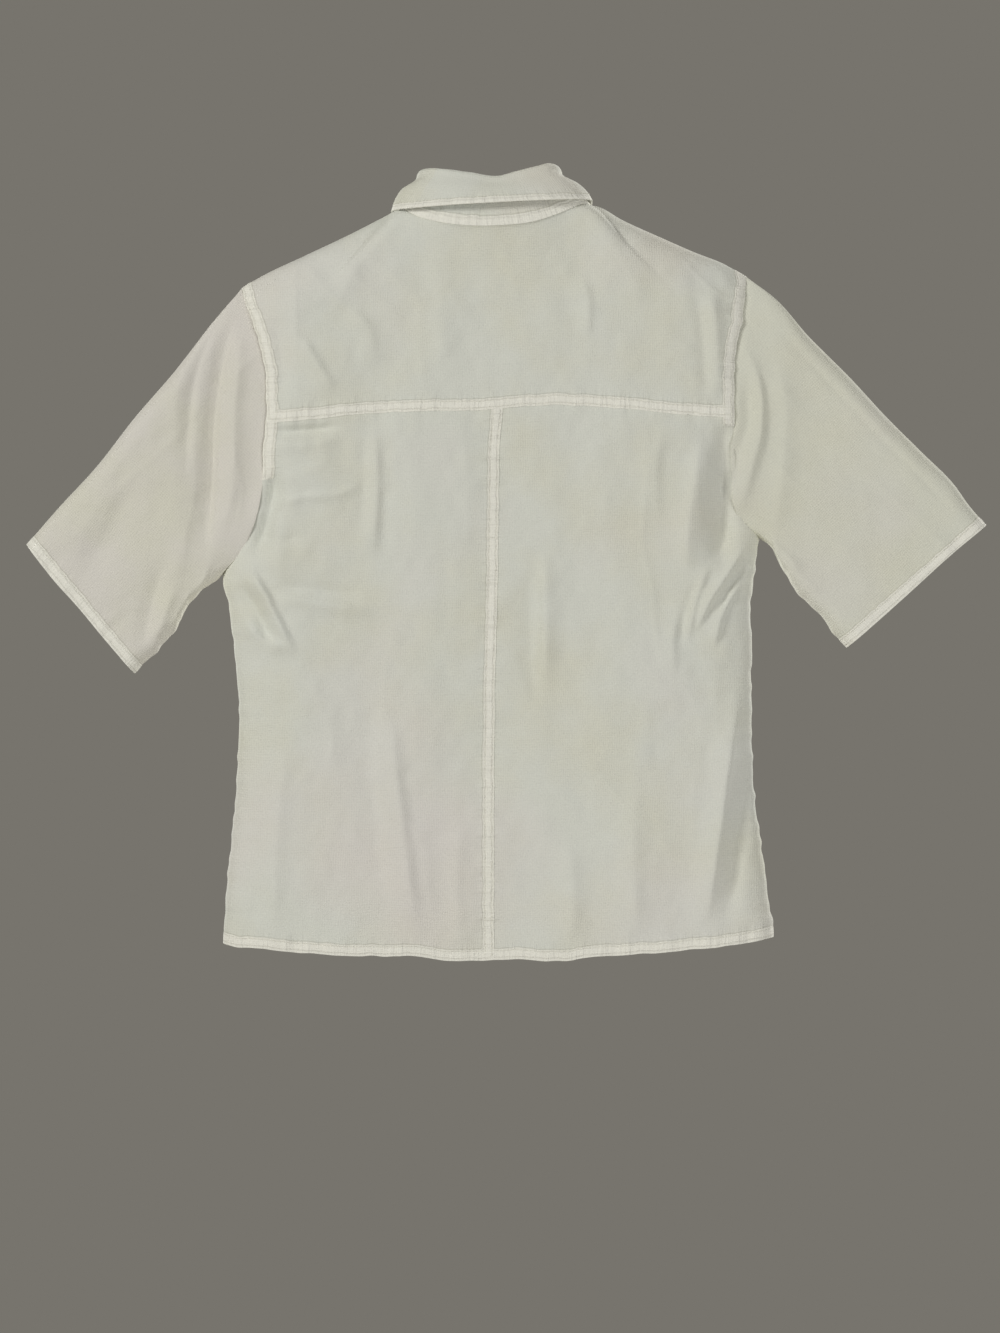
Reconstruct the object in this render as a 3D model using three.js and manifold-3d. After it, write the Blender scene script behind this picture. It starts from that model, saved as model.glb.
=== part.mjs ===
// A short-sleeved, collared cotton shirt, hanging as it does on a coat hanger.
// Millimetres, +Z up. The wearer's back faces -Y, the wearer's right is +X.
// The origin is the middle of the neck opening, level with the shoulder line,
// which is where the hook of a hanger passes.
//
// The shirt is a flattened tube: a back sheet on the -Y side and a front sheet
// on the +Y side. Every cloth piece is a thin shell on one of those two sheets.
import * as THREE from "three";
import { mergeVertices } from "three/addons/utils/BufferGeometryUtils.js";
import Module from "manifold-3d";

const wasm = await Module();
wasm.setup();

// ---- driving dimensions ----------------------------------------------------
const CLOTH = 1.2; // thickness of one cloth shell
const BAND = 1.8; // thickness of a folded band
const GAP = 0.4; // between pieces that touch
const APART = 0.9; // half the least distance between the back sheet and the front sheet
const LEAN = 0.022; // the shirt hangs a little lower on the wearer's left
const LEAN_LEFT_AT_HEM = 0.35; // share of the lean that is left at the hem

const NECK_HALF = 92; // neck opening, half width at the shoulder line
const NECK_DEEP = 30; // neck opening, half depth from back to front
const NECK_SIDE_Z = -4;
const NECK_BACK_DROP = 11; // how far the neck seam dips at the centre back
const NECK_FRONT_DROP = 58;
const SHOULDER = { x: 228, z: -71 }; // tip of the shoulder
const ARMPIT = { x: 237, z: -322 };
const FOLD_TOP_X = 233; // the line that a sleeve folds about, at the shoulder
const FOLD_LOW_X = 225; // and at the armpit
const CHEST_DEEP = 22; // half depth of the body
const ARMHOLE_DEEP = 11;
const SIDE_ROUND = 78; // the body reaches its full depth this far from its side
const TOP_ROUND = 60;

const HEM_Z = -679;
const HEM_RISE = 18; // at the side seams
const HEM_HALF = 247;
const WAIST_HALF = 231;
const WAIST_Z = -450;
const YOKE_Z = -184; // yoke seam at the centre back
const YOKE_DROP = 11; // and this much lower at the armholes
const YOKE_FRONT = 24; // the yoke comes this far over the shoulder to the front

const CUFF_TOP = { x: 432, z: -298 };
const CUFF_LOW = { x: 321, z: -410 };
const SLEEVE_GAP = 15; // from the fold line to where the rigid sleeve begins
const SLEEVE_DEEP = 14;
const SLEEVE_POWER = 3; // how square the section of a sleeve is; 2 is an ellipse

const BAND_HALF = 14; // half width of the button and buttonhole bands
const UNDER_STEP = 2.3; // the button side lies this much further in
const FLAP_TOP_Z = -140; // the front folds open below this height
const FLAP_TOP_X = 40;
const FLAP_LOW_X = 165;

const STAND_TOP = { half: 69, deep: 24, z: 31, frontZ: -34 };
const COLLAR_EDGE = { half: 98, deep: 37, z: 0 };
const COLLAR_POINT = { x: 50, y: 37, z: -92 };
const COLLAR_BACK_HALF = 54; // half length of the part of the collar that turns up
const COLLAR_LAYER = 0.8; // the collar and its stand are two layers of cloth
const COLLAR_APART = 0.65; // from the middle of the pair to the middle of each

const BUTTON = { r: 5.7, thick: 2.5, holeR: 8, threadR: 1.6 };
const BUTTON_Z = [-118, -206, -294, -382, -470, -558];

// ---- colours ---------------------------------------------------------------
const cotton = () => new THREE.MeshStandardMaterial({ color: 0xdcdccf, roughness: 0.92, metalness: 0 });
const foldedCotton = () => new THREE.MeshStandardMaterial({ color: 0xe8e6d6, roughness: 0.9, metalness: 0 });
const buttonWhite = () => new THREE.MeshStandardMaterial({ color: 0xefece2, roughness: 0.35, metalness: 0 });
const thread = () => new THREE.MeshStandardMaterial({ color: 0xece8d8, roughness: 0.85, metalness: 0 });

// ---- small helpers ---------------------------------------------------------
const mix = (a, b, t) => a + (b - a) * t;
const clamp01 = (t) => Math.min(1, Math.max(0, t));
const smooth = (t) => clamp01(t) ** 2 * (3 - 2 * clamp01(t));
// Quarter round: 0 at the edge, 1 at distance r and beyond.
const round = (d, r) => Math.sqrt(1 - (1 - clamp01(d / r)) ** 2);
// Half-depth share of a flattened oval at a share t of its half width.
const oval = (t) => Math.max(0, 1 - Math.abs(t) ** 2.6) ** (1 / 2.6);

// The whole shirt leans on its hanger: one side hangs lower, less so at the hem.
function hang(p) {
  const left = mix(1, LEAN_LEFT_AT_HEM, clamp01(p.z / HEM_Z));
  return new THREE.Vector3(p.x, p.y, p.z + LEAN * p.x * left);
}

// ---- outlines --------------------------------------------------------------
const hemZ = (x) => HEM_Z + HEM_RISE * (x / HEM_HALF) ** 2;
const yokeZ = (x) => YOKE_Z - YOKE_DROP * (x / FOLD_TOP_X) ** 2;
const foldX = (z) => mix(FOLD_TOP_X, FOLD_LOW_X, (z - SHOULDER.z) / (ARMPIT.z - SHOULDER.z));
const flapX = (z) => mix(FLAP_TOP_X, FLAP_LOW_X, (z - FLAP_TOP_Z) / (HEM_Z - FLAP_TOP_Z));

// Height of the shoulder line, outside the neck.
function shoulderZ(x) {
  return mix(NECK_SIDE_Z, SHOULDER.z, (Math.abs(x) - NECK_HALF) / (SHOULDER.x - NECK_HALF));
}

// Top edge of the back or front sheet: the shoulder line, and the neck seam between.
function topZ(x, drop) {
  if (Math.abs(x) >= NECK_HALF) return shoulderZ(x);
  return NECK_SIDE_Z - drop * oval(x / NECK_HALF);
}

// Half width of the body: the sleeve's fold line, then the side seam.
function sideX(z) {
  if (z > ARMPIT.z + 4) return foldX(z);
  if (z > WAIST_Z) return mix(ARMPIT.x, WAIST_HALF, smooth((ARMPIT.z - z) / (ARMPIT.z - WAIST_Z)));
  return mix(WAIST_HALF, HEM_HALF, smooth((WAIST_Z - z) / (WAIST_Z - HEM_Z)));
}

// Half depth of the body at a point of a sheet whose neck seam drops by drop.
function depth(x, z, drop) {
  const armhole = clamp01((SHOULDER.z - z) / (SHOULDER.z - ARMPIT.z));
  const edge = ARMHOLE_DEEP * Math.sin(Math.PI * armhole) ** 0.7;
  const body = mix(edge, CHEST_DEEP, round(sideX(z) - Math.abs(x), SIDE_ROUND));
  const neck = NECK_DEEP * oval(Math.min(1, Math.abs(x) / NECK_HALF));
  return APART + mix(neck, body, round(topZ(x, drop) - z, TOP_ROUND));
}

const backY = (x, z) => -depth(x, z, NECK_BACK_DROP);
const frontY = (x, z, step = 0) => depth(x, z, NECK_FRONT_DROP) - step;

// ---- solids ----------------------------------------------------------------
// A closed shell of the given thickness around a sheet of points at(s, t), which
// has rows and columns of cells. has(i, j) says whether a cell is part of the
// sheet, and lift moves the shell off the sheet, along its normals.
function shell(columns, rows, at, thickness, { has = () => true, lift = 0 } = {}) {
  const id = (i, j) => j * (columns + 1) + i;
  const mid = [];
  for (let j = 0; j <= rows; j++) for (let i = 0; i <= columns; i++) mid.push(hang(at(i / columns, j / rows)));
  const sheet = [];
  for (let j = 0; j < rows; j++) {
    for (let i = 0; i < columns; i++) {
      if (!has(i, j)) continue;
      sheet.push([id(i, j), id(i, j + 1), id(i + 1, j + 1)], [id(i, j), id(i + 1, j + 1), id(i + 1, j)]);
    }
  }
  // Each point moves half the thickness along the mean normal of its faces.
  const normals = mid.map(() => new THREE.Vector3());
  for (const [a, b, c] of sheet) {
    const normal = mid[b].clone().sub(mid[a]).cross(mid[c].clone().sub(mid[a]));
    for (const k of [a, b, c]) normals[k].add(normal);
  }
  const moved = (far) => mid.map((p, k) => p.clone().addScaledVector(normals[k].normalize(), far));
  const points = [...moved(lift + thickness / 2), ...moved(lift - thickness / 2)];
  const far = mid.length;
  const edges = new Set(sheet.flatMap(([a, b, c]) => [`${a},${b}`, `${b},${c}`, `${c},${a}`]));
  const faces = [];
  for (const [a, b, c] of sheet) {
    faces.push(a, b, c, c + far, b + far, a + far);
    for (const [p, q] of [[a, b], [b, c], [c, a]]) {
      // An edge with nothing on its other side gets a wall.
      if (!edges.has(`${q},${p}`)) faces.push(q, p, p + far, q, p + far, q + far);
    }
  }
  return facingOut(points, faces);
}

// A closed tube wall between an outer and an inner ring of points.
function tubeWall(around, rows, outerAt, innerAt) {
  const points = [];
  for (const at of [outerAt, innerAt]) {
    for (let j = 0; j <= rows; j++) for (let i = 0; i < around; i++) points.push(hang(at(i / around, j / rows)));
  }
  const count = (rows + 1) * around;
  const id = (i, j) => j * around + (i % around);
  const faces = [];
  const quad = (a, b, c, d) => faces.push(a, b, c, a, c, d);
  for (let i = 0; i < around; i++) {
    for (let j = 0; j < rows; j++) {
      const [a, b, c, d] = [id(i, j), id(i + 1, j), id(i + 1, j + 1), id(i, j + 1)];
      quad(a, b, c, d);
      quad(d + count, c + count, b + count, a + count);
    }
    quad(id(i, 0) + count, id(i + 1, 0) + count, id(i + 1, 0), id(i, 0));
    quad(id(i, rows), id(i + 1, rows), id(i + 1, rows) + count, id(i, rows) + count);
  }
  return facingOut(points, faces);
}

// Builds a geometry, and turns its faces round if they point inwards.
function facingOut(points, faces) {
  const g = new THREE.BufferGeometry().setFromPoints(points).setIndex(faces);
  let volume = 0;
  for (let k = 0; k < faces.length; k += 3) {
    const [a, b, c] = [points[faces[k]], points[faces[k + 1]], points[faces[k + 2]]];
    volume += a.dot(b.clone().cross(c));
  }
  if (volume < 0) for (let k = 0; k < faces.length; k += 3) [faces[k], faces[k + 1]] = [faces[k + 1], faces[k]];
  return g.setIndex(faces);
}

function toManifold(geometry) {
  const g = geometry.clone();
  for (const name of ["normal", "uv"]) g.deleteAttribute(name);
  const merged = mergeVertices(g, 1e-4);
  return new wasm.Manifold(
    new wasm.Mesh({
      numProp: 3,
      vertProperties: merged.attributes.position.array,
      triVerts: new Uint32Array(merged.index.array),
    }),
  );
}

function fromManifold(solid) {
  const m = solid.getMesh();
  return new THREE.BufferGeometry()
    .setAttribute("position", new THREE.BufferAttribute(new Float32Array(m.vertProperties), 3))
    .setIndex(new THREE.BufferAttribute(new Uint32Array(m.triVerts), 1));
}

// A disc or rod lying along Y, centred on p.
const rodAlongY = (r, length, sides, p) => new THREE.CylinderGeometry(r, r, length, sides).translate(p.x, p.y, p.z);

function cutHoles(geometry, centres, r) {
  let solid = toManifold(geometry);
  for (const p of centres) solid = solid.subtract(toManifold(rodAlongY(r, 14, 14, hang(p))));
  return fromManifold(solid);
}

// ---- the shirt -------------------------------------------------------------
const shirt = new THREE.Group();
function add(name, geometry, material) {
  const mesh = new THREE.Mesh(geometry, material);
  mesh.name = name;
  shirt.add(mesh);
}

// Columns of a body panel sit closer together towards the rounded side.
const towardsSide = (t) => Math.sin((t * Math.PI) / 2) ** 0.9;

// Back panel of one side: yoke seam to hem, centre back seam to side seam.
function backPanel(side) {
  const at = (s, t) => {
    const near = GAP / 2;
    const first = mix(near, sideX(YOKE_Z), towardsSide(s));
    const z = mix(yokeZ(first) - GAP - CLOTH / 2, hemZ(first), t);
    const x = mix(near, sideX(z), towardsSide(s));
    return { x: side * x, y: backY(x, z), z };
  };
  return shell(7, 12, at, CLOTH);
}

// Yoke: over the shoulder blades, and over each shoulder to the front.
function yoke() {
  const columns = 26;
  const backRows = 6;
  const rows = 9;
  const neckColumns = 8; // on either side of the centre
  const half = columns / 2;
  const at = (s, t) => {
    const i = s * columns - half;
    const past = (Math.abs(i) - neckColumns) / (half - neckColumns);
    const reach = past < 0 ? NECK_HALF * Math.sin((Math.abs(i) / neckColumns) * Math.PI * 0.5) : 0;
    const x = Math.sign(i) * (past < 0 ? reach : mix(NECK_HALF, SHOULDER.x, past));
    const top = topZ(x, NECK_BACK_DROP) - CLOTH / 2;
    const row = t * rows;
    if (row <= backRows) {
      const z = mix(top, yokeZ(x), (1 - row / backRows) ** 1.6);
      const crest = row === backRows && past >= 0;
      return { x, y: crest ? 0 : backY(x, z), z };
    }
    const z = top - YOKE_FRONT * ((row - backRows) / (rows - backRows)) ** 1.4;
    return { x, y: frontY(x, z), z };
  };
  const has = (i, j) => j < backRows || Math.abs(i + 0.5 - half) > neckColumns;
  return shell(columns, rows, at, CLOTH, { has });
}

// Front panel of one side, without the part that folds open.
function frontSide(side, step) {
  const columns = 9;
  const neckColumns = 4;
  const rows = 16;
  const upperRows = 6;
  const seam = (x) => Math.min(shoulderZ(x) - YOKE_FRONT - CLOTH, topZ(x, NECK_FRONT_DROP)) - 3 * GAP - CLOTH;
  const at = (s, t) => {
    const row = t * rows;
    // The upper rows reach to the band; the lower rows end at the fold line.
    const upper = row <= upperRows;
    const near = (z) => (upper ? BAND_HALF : flapX(z)) + GAP;
    const across = s * columns;
    const share = across < neckColumns
      ? (NECK_HALF / SHOULDER.x) * Math.sin((across / neckColumns) * Math.PI * 0.5)
      : mix(NECK_HALF / SHOULDER.x, 1, ((across - neckColumns) / (columns - neckColumns)) ** 0.9);
    const seamX = mix(BAND_HALF + GAP, SHOULDER.x, share);
    const lowerShare = (row - upperRows - 1) / (rows - upperRows - 1);
    const z = upper
      ? mix(seam(seamX), FLAP_TOP_Z + GAP, row / upperRows)
      : mix(FLAP_TOP_Z - GAP, hemZ(mix(FLAP_LOW_X, HEM_HALF, s)), lowerShare);
    const x = mix(near(z), sideX(z), upper ? share : towardsSide(s));
    return { x: side * x, y: frontY(x, z, step * (1 - smooth((x - 60) / 100))), z };
  };
  return shell(columns, rows, at, CLOTH);
}

// The part of the front that folds open, between the fold line and the band.
function frontFlap(side, step) {
  const at = (s, t) => {
    const z = mix(FLAP_TOP_Z - 3 * GAP, hemZ(80), t);
    const x = mix(BAND_HALF + GAP, flapX(z) - GAP, s);
    return { x: side * x, y: APART + CHEST_DEEP - step, z };
  };
  return shell(3, 8, at, CLOTH);
}

// Band along a front edge. above is the part over the fold, which stays put.
function band(step, above, holeR) {
  const low = above ? FLAP_TOP_Z + GAP : HEM_Z;
  const high = above ? topZ(0, NECK_FRONT_DROP) - GAP - CLOTH : FLAP_TOP_Z - 3 * GAP;
  const at = (s, t) => {
    const z = mix(high, low, t);
    return { x: mix(-BAND_HALF, BAND_HALF, s), y: frontY(0, Math.min(z, high), step), z };
  };
  const solid = shell(2, above ? 5 : 8, at, BAND);
  const centres = BUTTON_Z.filter((z) => z > FLAP_TOP_Z === above).map((z) => ({ x: 0, y: frontY(0, z, step), z }));
  return holeR ? cutHoles(solid, centres, holeR) : solid;
}

// A sleeve: a flattened tube, open at the armhole and at the cuff.
function sleeve(side) {
  const topIn = { x: foldX(SHOULDER.z) + SLEEVE_GAP, z: SHOULDER.z - 22 };
  const lowIn = { x: foldX(ARMPIT.z) + SLEEVE_GAP + 3, z: ARMPIT.z + 8 };
  const at = (inset) => (turn, t) => {
    const section = (value) => Math.sign(value) * Math.abs(value) ** (2 / SLEEVE_POWER);
    const across = 0.5 - 0.5 * section(Math.cos(2 * Math.PI * turn));
    const top = { x: mix(topIn.x, CUFF_TOP.x, t), z: mix(topIn.z, CUFF_TOP.z, t) };
    const low = { x: mix(lowIn.x, CUFF_LOW.x, t), z: mix(lowIn.z, CUFF_LOW.z, t) };
    const width = Math.hypot(low.x - top.x, low.z - top.z);
    const v = mix(inset / width, 1 - inset / width, across);
    const y = (SLEEVE_DEEP - inset) * section(Math.sin(2 * Math.PI * turn));
    return { x: side * mix(top.x, low.x, v), y: -y, z: mix(top.z, low.z, v) };
  };
  return tubeWall(24, 6, at(0), at(CLOTH));
}

// A point of the collar's rings. turn 0 is the centre front, 0.25 the wearer's
// right side of the neck, 0.5 the centre back. outline gives half width, half depth.
function ringXY(half, deep, turn) {
  const angle = 2 * Math.PI * turn;
  const power = 2 / 2.6;
  const c = Math.cos(angle);
  const s = Math.sin(angle);
  return { x: half * Math.sign(s) * Math.abs(s) ** power, y: deep * Math.sign(c) * Math.abs(c) ** power };
}
// How far forward of the shoulder line a turn is: 0 at the back and sides, 1 at the front.
const forward = (turn) => Math.max(0, Math.cos(2 * Math.PI * turn)) ** 1.2;

function standBase(turn) {
  const p = ringXY(NECK_HALF - 1.5, NECK_DEEP - 1.5, turn);
  const c = Math.cos(2 * Math.PI * turn);
  const drop = c > 0 ? NECK_FRONT_DROP * Math.abs(c) ** (2 / 2.6) : NECK_BACK_DROP * Math.abs(c) ** (2 / 2.6);
  return { ...p, z: NECK_SIDE_Z - drop + 1.2 };
}
function standTop(turn) {
  const p = ringXY(STAND_TOP.half, STAND_TOP.deep, turn);
  return { ...p, z: mix(STAND_TOP.z, STAND_TOP.frontZ, forward(turn)) };
}

// Collar stand: a band round the neck. layer 1 is the outer cloth, -1 the inner.
function collarStand(layer) {
  const open = 0.012; // the two ends stop just short of each other at the front
  const at = (s, t) => {
    const turn = mix(open, 1 - open, s);
    const [low, high] = [standBase(turn), standTop(turn)];
    return { x: mix(low.x, high.x, t), y: mix(low.y, high.y, t), z: mix(low.z, high.z, t) };
  };
  return shell(28, 2, at, COLLAR_LAYER, { lift: layer * COLLAR_APART });
}

// Roll line: just outside the top of the stand, where the collar turns down.
function rollLine(turn) {
  const p = ringXY(STAND_TOP.half + 3, STAND_TOP.deep + 3.2, turn);
  return { ...p, z: mix(STAND_TOP.z, STAND_TOP.frontZ, forward(turn)) + 1 };
}
// Free edge of the collar, from the back round to the collar point.
function collarEdge(turn) {
  const p = ringXY(COLLAR_EDGE.half, COLLAR_EDGE.deep, turn);
  const f = forward(turn);
  const side = Math.sign(Math.sin(2 * Math.PI * turn)) || 1;
  return {
    x: mix(p.x, side * COLLAR_POINT.x, f ** 2),
    y: mix(p.y, COLLAR_POINT.y, f),
    z: mix(COLLAR_EDGE.z, COLLAR_POINT.z, f),
  };
}

// One length of the collar, between two turns. layer 1 is the upper collar.
function collarLeaf(from, to, columns, layer) {
  const at = (s, t) => {
    const turn = mix(from, to, s);
    const [a, b] = [rollLine(turn), collarEdge(turn)];
    return { x: mix(a.x, b.x, t), y: mix(a.y, b.y, t), z: mix(a.z, b.z, t) };
  };
  return shell(columns, 2, at, COLLAR_LAYER, { lift: -layer * COLLAR_APART });
}

// The turn at which the roll line reaches COLLAR_BACK_HALF, on the back.
function turnAtBackHalf() {
  const share = (COLLAR_BACK_HALF / (STAND_TOP.half + 3)) ** (2.6 / 2);
  return 0.5 - Math.asin(share) / (2 * Math.PI);
}

// Body, in the order in which the shirt is sewn.
add("yoke", yoke(), cotton());
add("back_left", backPanel(-1), cotton());
add("back_right", backPanel(1), cotton());
add("front_left_side", frontSide(-1, UNDER_STEP), cotton());
add("front_right_side", frontSide(1, 0), cotton());
add("front_left_flap", frontFlap(-1, UNDER_STEP), cotton());
add("front_right_flap", frontFlap(1, 0), cotton());

// Buttons on the wearer's left, buttonholes on the wearer's right.
add("button_band_top", band(UNDER_STEP, true, 0), foldedCotton());
add("button_band", band(UNDER_STEP, false, 0), foldedCotton());
add("buttonhole_band_top", band(0, true, BUTTON.holeR), foldedCotton());
add("buttonhole_band", band(0, false, BUTTON.holeR), foldedCotton());

add("sleeve_left", sleeve(-1), cotton());
add("sleeve_right", sleeve(1), cotton());

add("collar_stand_outer", collarStand(1), cotton());
add("collar_stand_inner", collarStand(-1), cotton());
const backTurn = turnAtBackHalf();
const slit = 0.004; // between the part that turns up and the parts beside it
for (const [layer, name] of [[1, "upper_collar"], [-1, "under_collar"]]) {
  add(name + "_back", collarLeaf(backTurn + slit, 1 - backTurn - slit, 10, layer), cotton());
  add(name + "_right", collarLeaf(0.02, backTurn - slit, 12, layer), cotton());
  add(name + "_left", collarLeaf(1 - backTurn + slit, 0.98, 12, layer), cotton());
}

// One button closes the collar stand; the others run down the band.
const bandFace = (z) => frontY(0, z) + BAND / 2;
const standButtonZ = (standBase(0.02).z + standTop(0.02).z) / 2;
const standFace = (standBase(0.02).y + standTop(0.02).y) / 2 + COLLAR_LAYER + 0.4;
const buttons = [
  { y: standFace, z: standButtonZ, threadFrom: standFace - 0.2 },
  ...BUTTON_Z.map((z) => ({ y: bandFace(z), z, threadFrom: frontY(0, z, UNDER_STEP) + BAND / 2 + GAP })),
];
buttons.forEach((b, n) => {
  const seat = b.y + 0.7;
  const disc = hang({ x: 0, y: seat + BUTTON.thick / 2, z: b.z });
  const rod = hang({ x: 0, y: (b.threadFrom + seat - GAP) / 2, z: b.z });
  add(`button_${n + 1}`, rodAlongY(BUTTON.r, BUTTON.thick, 20, disc), buttonWhite());
  add(`button_thread_${n + 1}`, rodAlongY(BUTTON.threadR, seat - GAP - b.threadFrom, 10, rod), thread());
});

export default shirt;
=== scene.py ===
# %% [markdown]
# # A white cotton shirt, hanging
# The model that this scene dresses is a short-sleeved, collared cotton shirt. It hangs from
# its shoulders with its back towards us. A shirt's look is in four things: the line round it,
# the soft folds that its weight makes, the seams that hold it together, and the weave.

import math

import bpy
import numpy as np
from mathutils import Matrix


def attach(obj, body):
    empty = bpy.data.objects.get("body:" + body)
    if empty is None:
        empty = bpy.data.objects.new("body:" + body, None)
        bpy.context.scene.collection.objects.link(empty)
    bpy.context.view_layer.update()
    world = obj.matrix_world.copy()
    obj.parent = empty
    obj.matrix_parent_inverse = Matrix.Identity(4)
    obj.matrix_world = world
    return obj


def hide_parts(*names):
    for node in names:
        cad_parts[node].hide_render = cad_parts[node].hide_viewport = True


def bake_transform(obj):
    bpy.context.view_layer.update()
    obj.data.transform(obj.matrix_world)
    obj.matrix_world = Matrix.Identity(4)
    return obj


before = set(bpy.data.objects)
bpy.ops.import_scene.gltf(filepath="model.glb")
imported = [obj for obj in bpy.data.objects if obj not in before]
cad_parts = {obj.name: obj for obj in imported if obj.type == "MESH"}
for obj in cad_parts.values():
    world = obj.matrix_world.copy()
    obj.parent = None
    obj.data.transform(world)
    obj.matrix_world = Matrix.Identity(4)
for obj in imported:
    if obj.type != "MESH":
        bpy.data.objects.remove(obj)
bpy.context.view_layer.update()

# %% [markdown]
# ## Camera
# The shirt is seen square on, from far enough away that its near and far parts come out at
# almost the same scale.

# %% Camera
AWAY = 4.0
camera = bpy.data.objects.new("camera", bpy.data.cameras.new("camera"))
bpy.context.collection.objects.link(camera)
bpy.context.scene.camera = camera
camera.data.sensor_fit = "VERTICAL"
camera.data.sensor_height = 24
camera.data.lens = 12 * (AWAY - 0.01) / 0.6
camera.location = (0.0045, -AWAY, -0.4158)
camera.rotation_euler = (math.pi / 2, 0, 0)
print("camera %.2f m away, lens %.1f mm" % (AWAY, camera.data.lens))

# %% [markdown]
# ## The line round the shirt
# The edge of a hanging shirt is never straight. It could be drawn by a cloth simulation, but
# the places of the seams and edges are known here, so each is a smooth line through points.
# Everything is in millimetres from the middle of the neck opening, x to the wearer's right
# and z up, and becomes metres only when a mesh is made.


# %% Lines: edges and seams
def mix(a, b, t):
    return a + (b - a) * t


def smooth(t):
    t = np.clip(t, 0, 1)
    return t * t * (3 - 2 * t)


def through(points, share):
    """Places on a smooth line through the points, at shares 0 to 1 of its length."""
    p = np.array(points, float)
    t = np.r_[0, np.cumsum(np.linalg.norm(np.diff(p, axis=0), axis=1))]
    t /= t[-1]
    slope = np.gradient(p, t, axis=0)
    s = np.clip(share, 0, 1)
    k = np.clip(np.searchsorted(t, s, side="right") - 1, 0, len(p) - 2)
    h = (t[k + 1] - t[k])[..., None]
    u = (s - t[k])[..., None] / h
    return (
        (1 + 2 * u) * (1 - u) ** 2 * p[k]
        + u**2 * (3 - 2 * u) * p[k + 1]
        + h * u * (1 - u) * ((1 - u) * slope[k] - u * slope[k + 1])
    )


def height_along(points):
    """z as a function of x, for a line that runs from left to right."""
    line = through(points, np.linspace(0, 1, 400))
    return lambda x: np.interp(x, line[:, 0], line[:, 1])


def place_down(points):
    """x as a function of z, for a line that runs downwards."""
    line = through(points, np.linspace(0, 1, 400))[::-1]
    return lambda z: np.interp(z, line[:, 1], line[:, 0])


def waves(a, b, size_a, size_b, seed):
    """Smooth noise from -1 to 1, with bumps of the given sizes in mm."""
    table = np.random.default_rng(seed).uniform(-1, 1, (61, 61))
    u, v = np.broadcast_arrays(a / size_a + 500, b / size_b + 500)
    i, j = np.floor(u).astype(int), np.floor(v).astype(int)
    s, t = smooth(u - i), smooth(v - j)
    at = lambda m, n: table[(i + m) % 61, (j + n) % 61]
    return mix(mix(at(0, 0), at(1, 0), s), mix(at(0, 1), at(1, 1), s), t)


SHOULDER_L, SHOULDER_R = (-228.8, -75.1), (227.1, -64.5)
ARMPIT_L, ARMPIT_R = (-244.0, -331.1), (237.5, -298.8)
ARMHOLE_L = [SHOULDER_L, (-226.5, -83), (-218.2, -105.1), (-209.2, -133.5), (-205.3, -161.9),
             (-205.3, -187.7), (-207.8, -216.2), (-209.2, -244.6), (-214.3, -273), (-222, -296),
             (-233.6, -316), ARMPIT_L]
ARMHOLE_R = [SHOULDER_R, (222, -105.1), (215.6, -136.1), (214.3, -164.5), (214.3, -195.5),
             (215.6, -221.3), (216.5, -242), (217, -262), (223.3, -280), ARMPIT_R]
SIDE_L = [(-238.9, -363.4), (-235, -402.1), (-231.1, -443.4), (-231.5, -493.2), (-234.3, -535.5),
          (-238, -574.1), (-241.7, -610.8), (-244.4, -653), (-245.5, -680)]
SIDE_R = [(235.7, -319.1), (233, -341.2), (230.2, -359.6), (231.1, -396.3), (231.1, -444.1),
          (231.8, -483.4), (233.6, -528.8), (237.5, -559.2), (243.2, -602.7), (247, -631.2),
          (250.2, -646), (249.5, -680)]
SHOULDER_LINE = [SHOULDER_L, (-212.2, -64.9), (-173.7, -46.5), (-133.2, -27.3), (-96.5, -8.5)]
SHOULDER_LINE_R = [
    (90, -0.5), (115.1, -13.5), (151.8, -30.1), (181.2, -42.9), (206.9, -53), SHOULDER_R,
]
NECK_L, NECK_R = -90, 86
NECK_BACK = [
    (-89, -4.5), (-81, -6.5), (-67.5, -13), (-55.5, -16.5), (-22.5, -21),
    (4.5, -20.8), (31.5, -18), (55.5, -10.5), (67.5, -5.4), (80, 0),
]
NECK_FRONT = [
    (-89, -6), (-84, -18), (-66, -41), (-40, -56), (0, -63), (40, -55), (66, -39), (80, -16), (85, -2),
]
YOKE_SEAM = [(-235, -198.5), (-201.2, -196.1), (-162.6, -193.3), (-136.9, -190.5), (-103.9, -187.8),
             (-63.5, -186.5), (-8.4, -185.5), (23.6, -182.6), (51.1, -181.3), (87.9, -182.3),
             (133.8, -185.9), (170.6, -189.6), (201.8, -191.5), (235, -193)]
HEM = [
    (-248, -664.5), (-238, -666.8), (-197.6, -670.5), (-155.3, -674.1), (-109.4, -675.6),
    (-72.6, -676), (-48.8, -679.3), (-30.4, -680.2), (0.8, -678.8), (15.8, -678.1), (48.1, -680.4),
    (62, -680.2), (82.2, -677.5), (139, -672.8), (195.8, -668.1), (233.6, -663.3), (252, -659),
]
CENTRE_BACK = [(3, -170), (0.3, -202), (-2, -300), (-5, -445), (-6.3, -700)]


def sewn(line, height, size, seed):
    """A line that a row of stitches has drawn up a little, so that it is never quite smooth."""
    return lambda a: line(a) + height * waves(a, 0, size, 1, seed) + 0.5 * height * waves(
        a, 0, size * 2.7, 1, seed + 1,
    )


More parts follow.
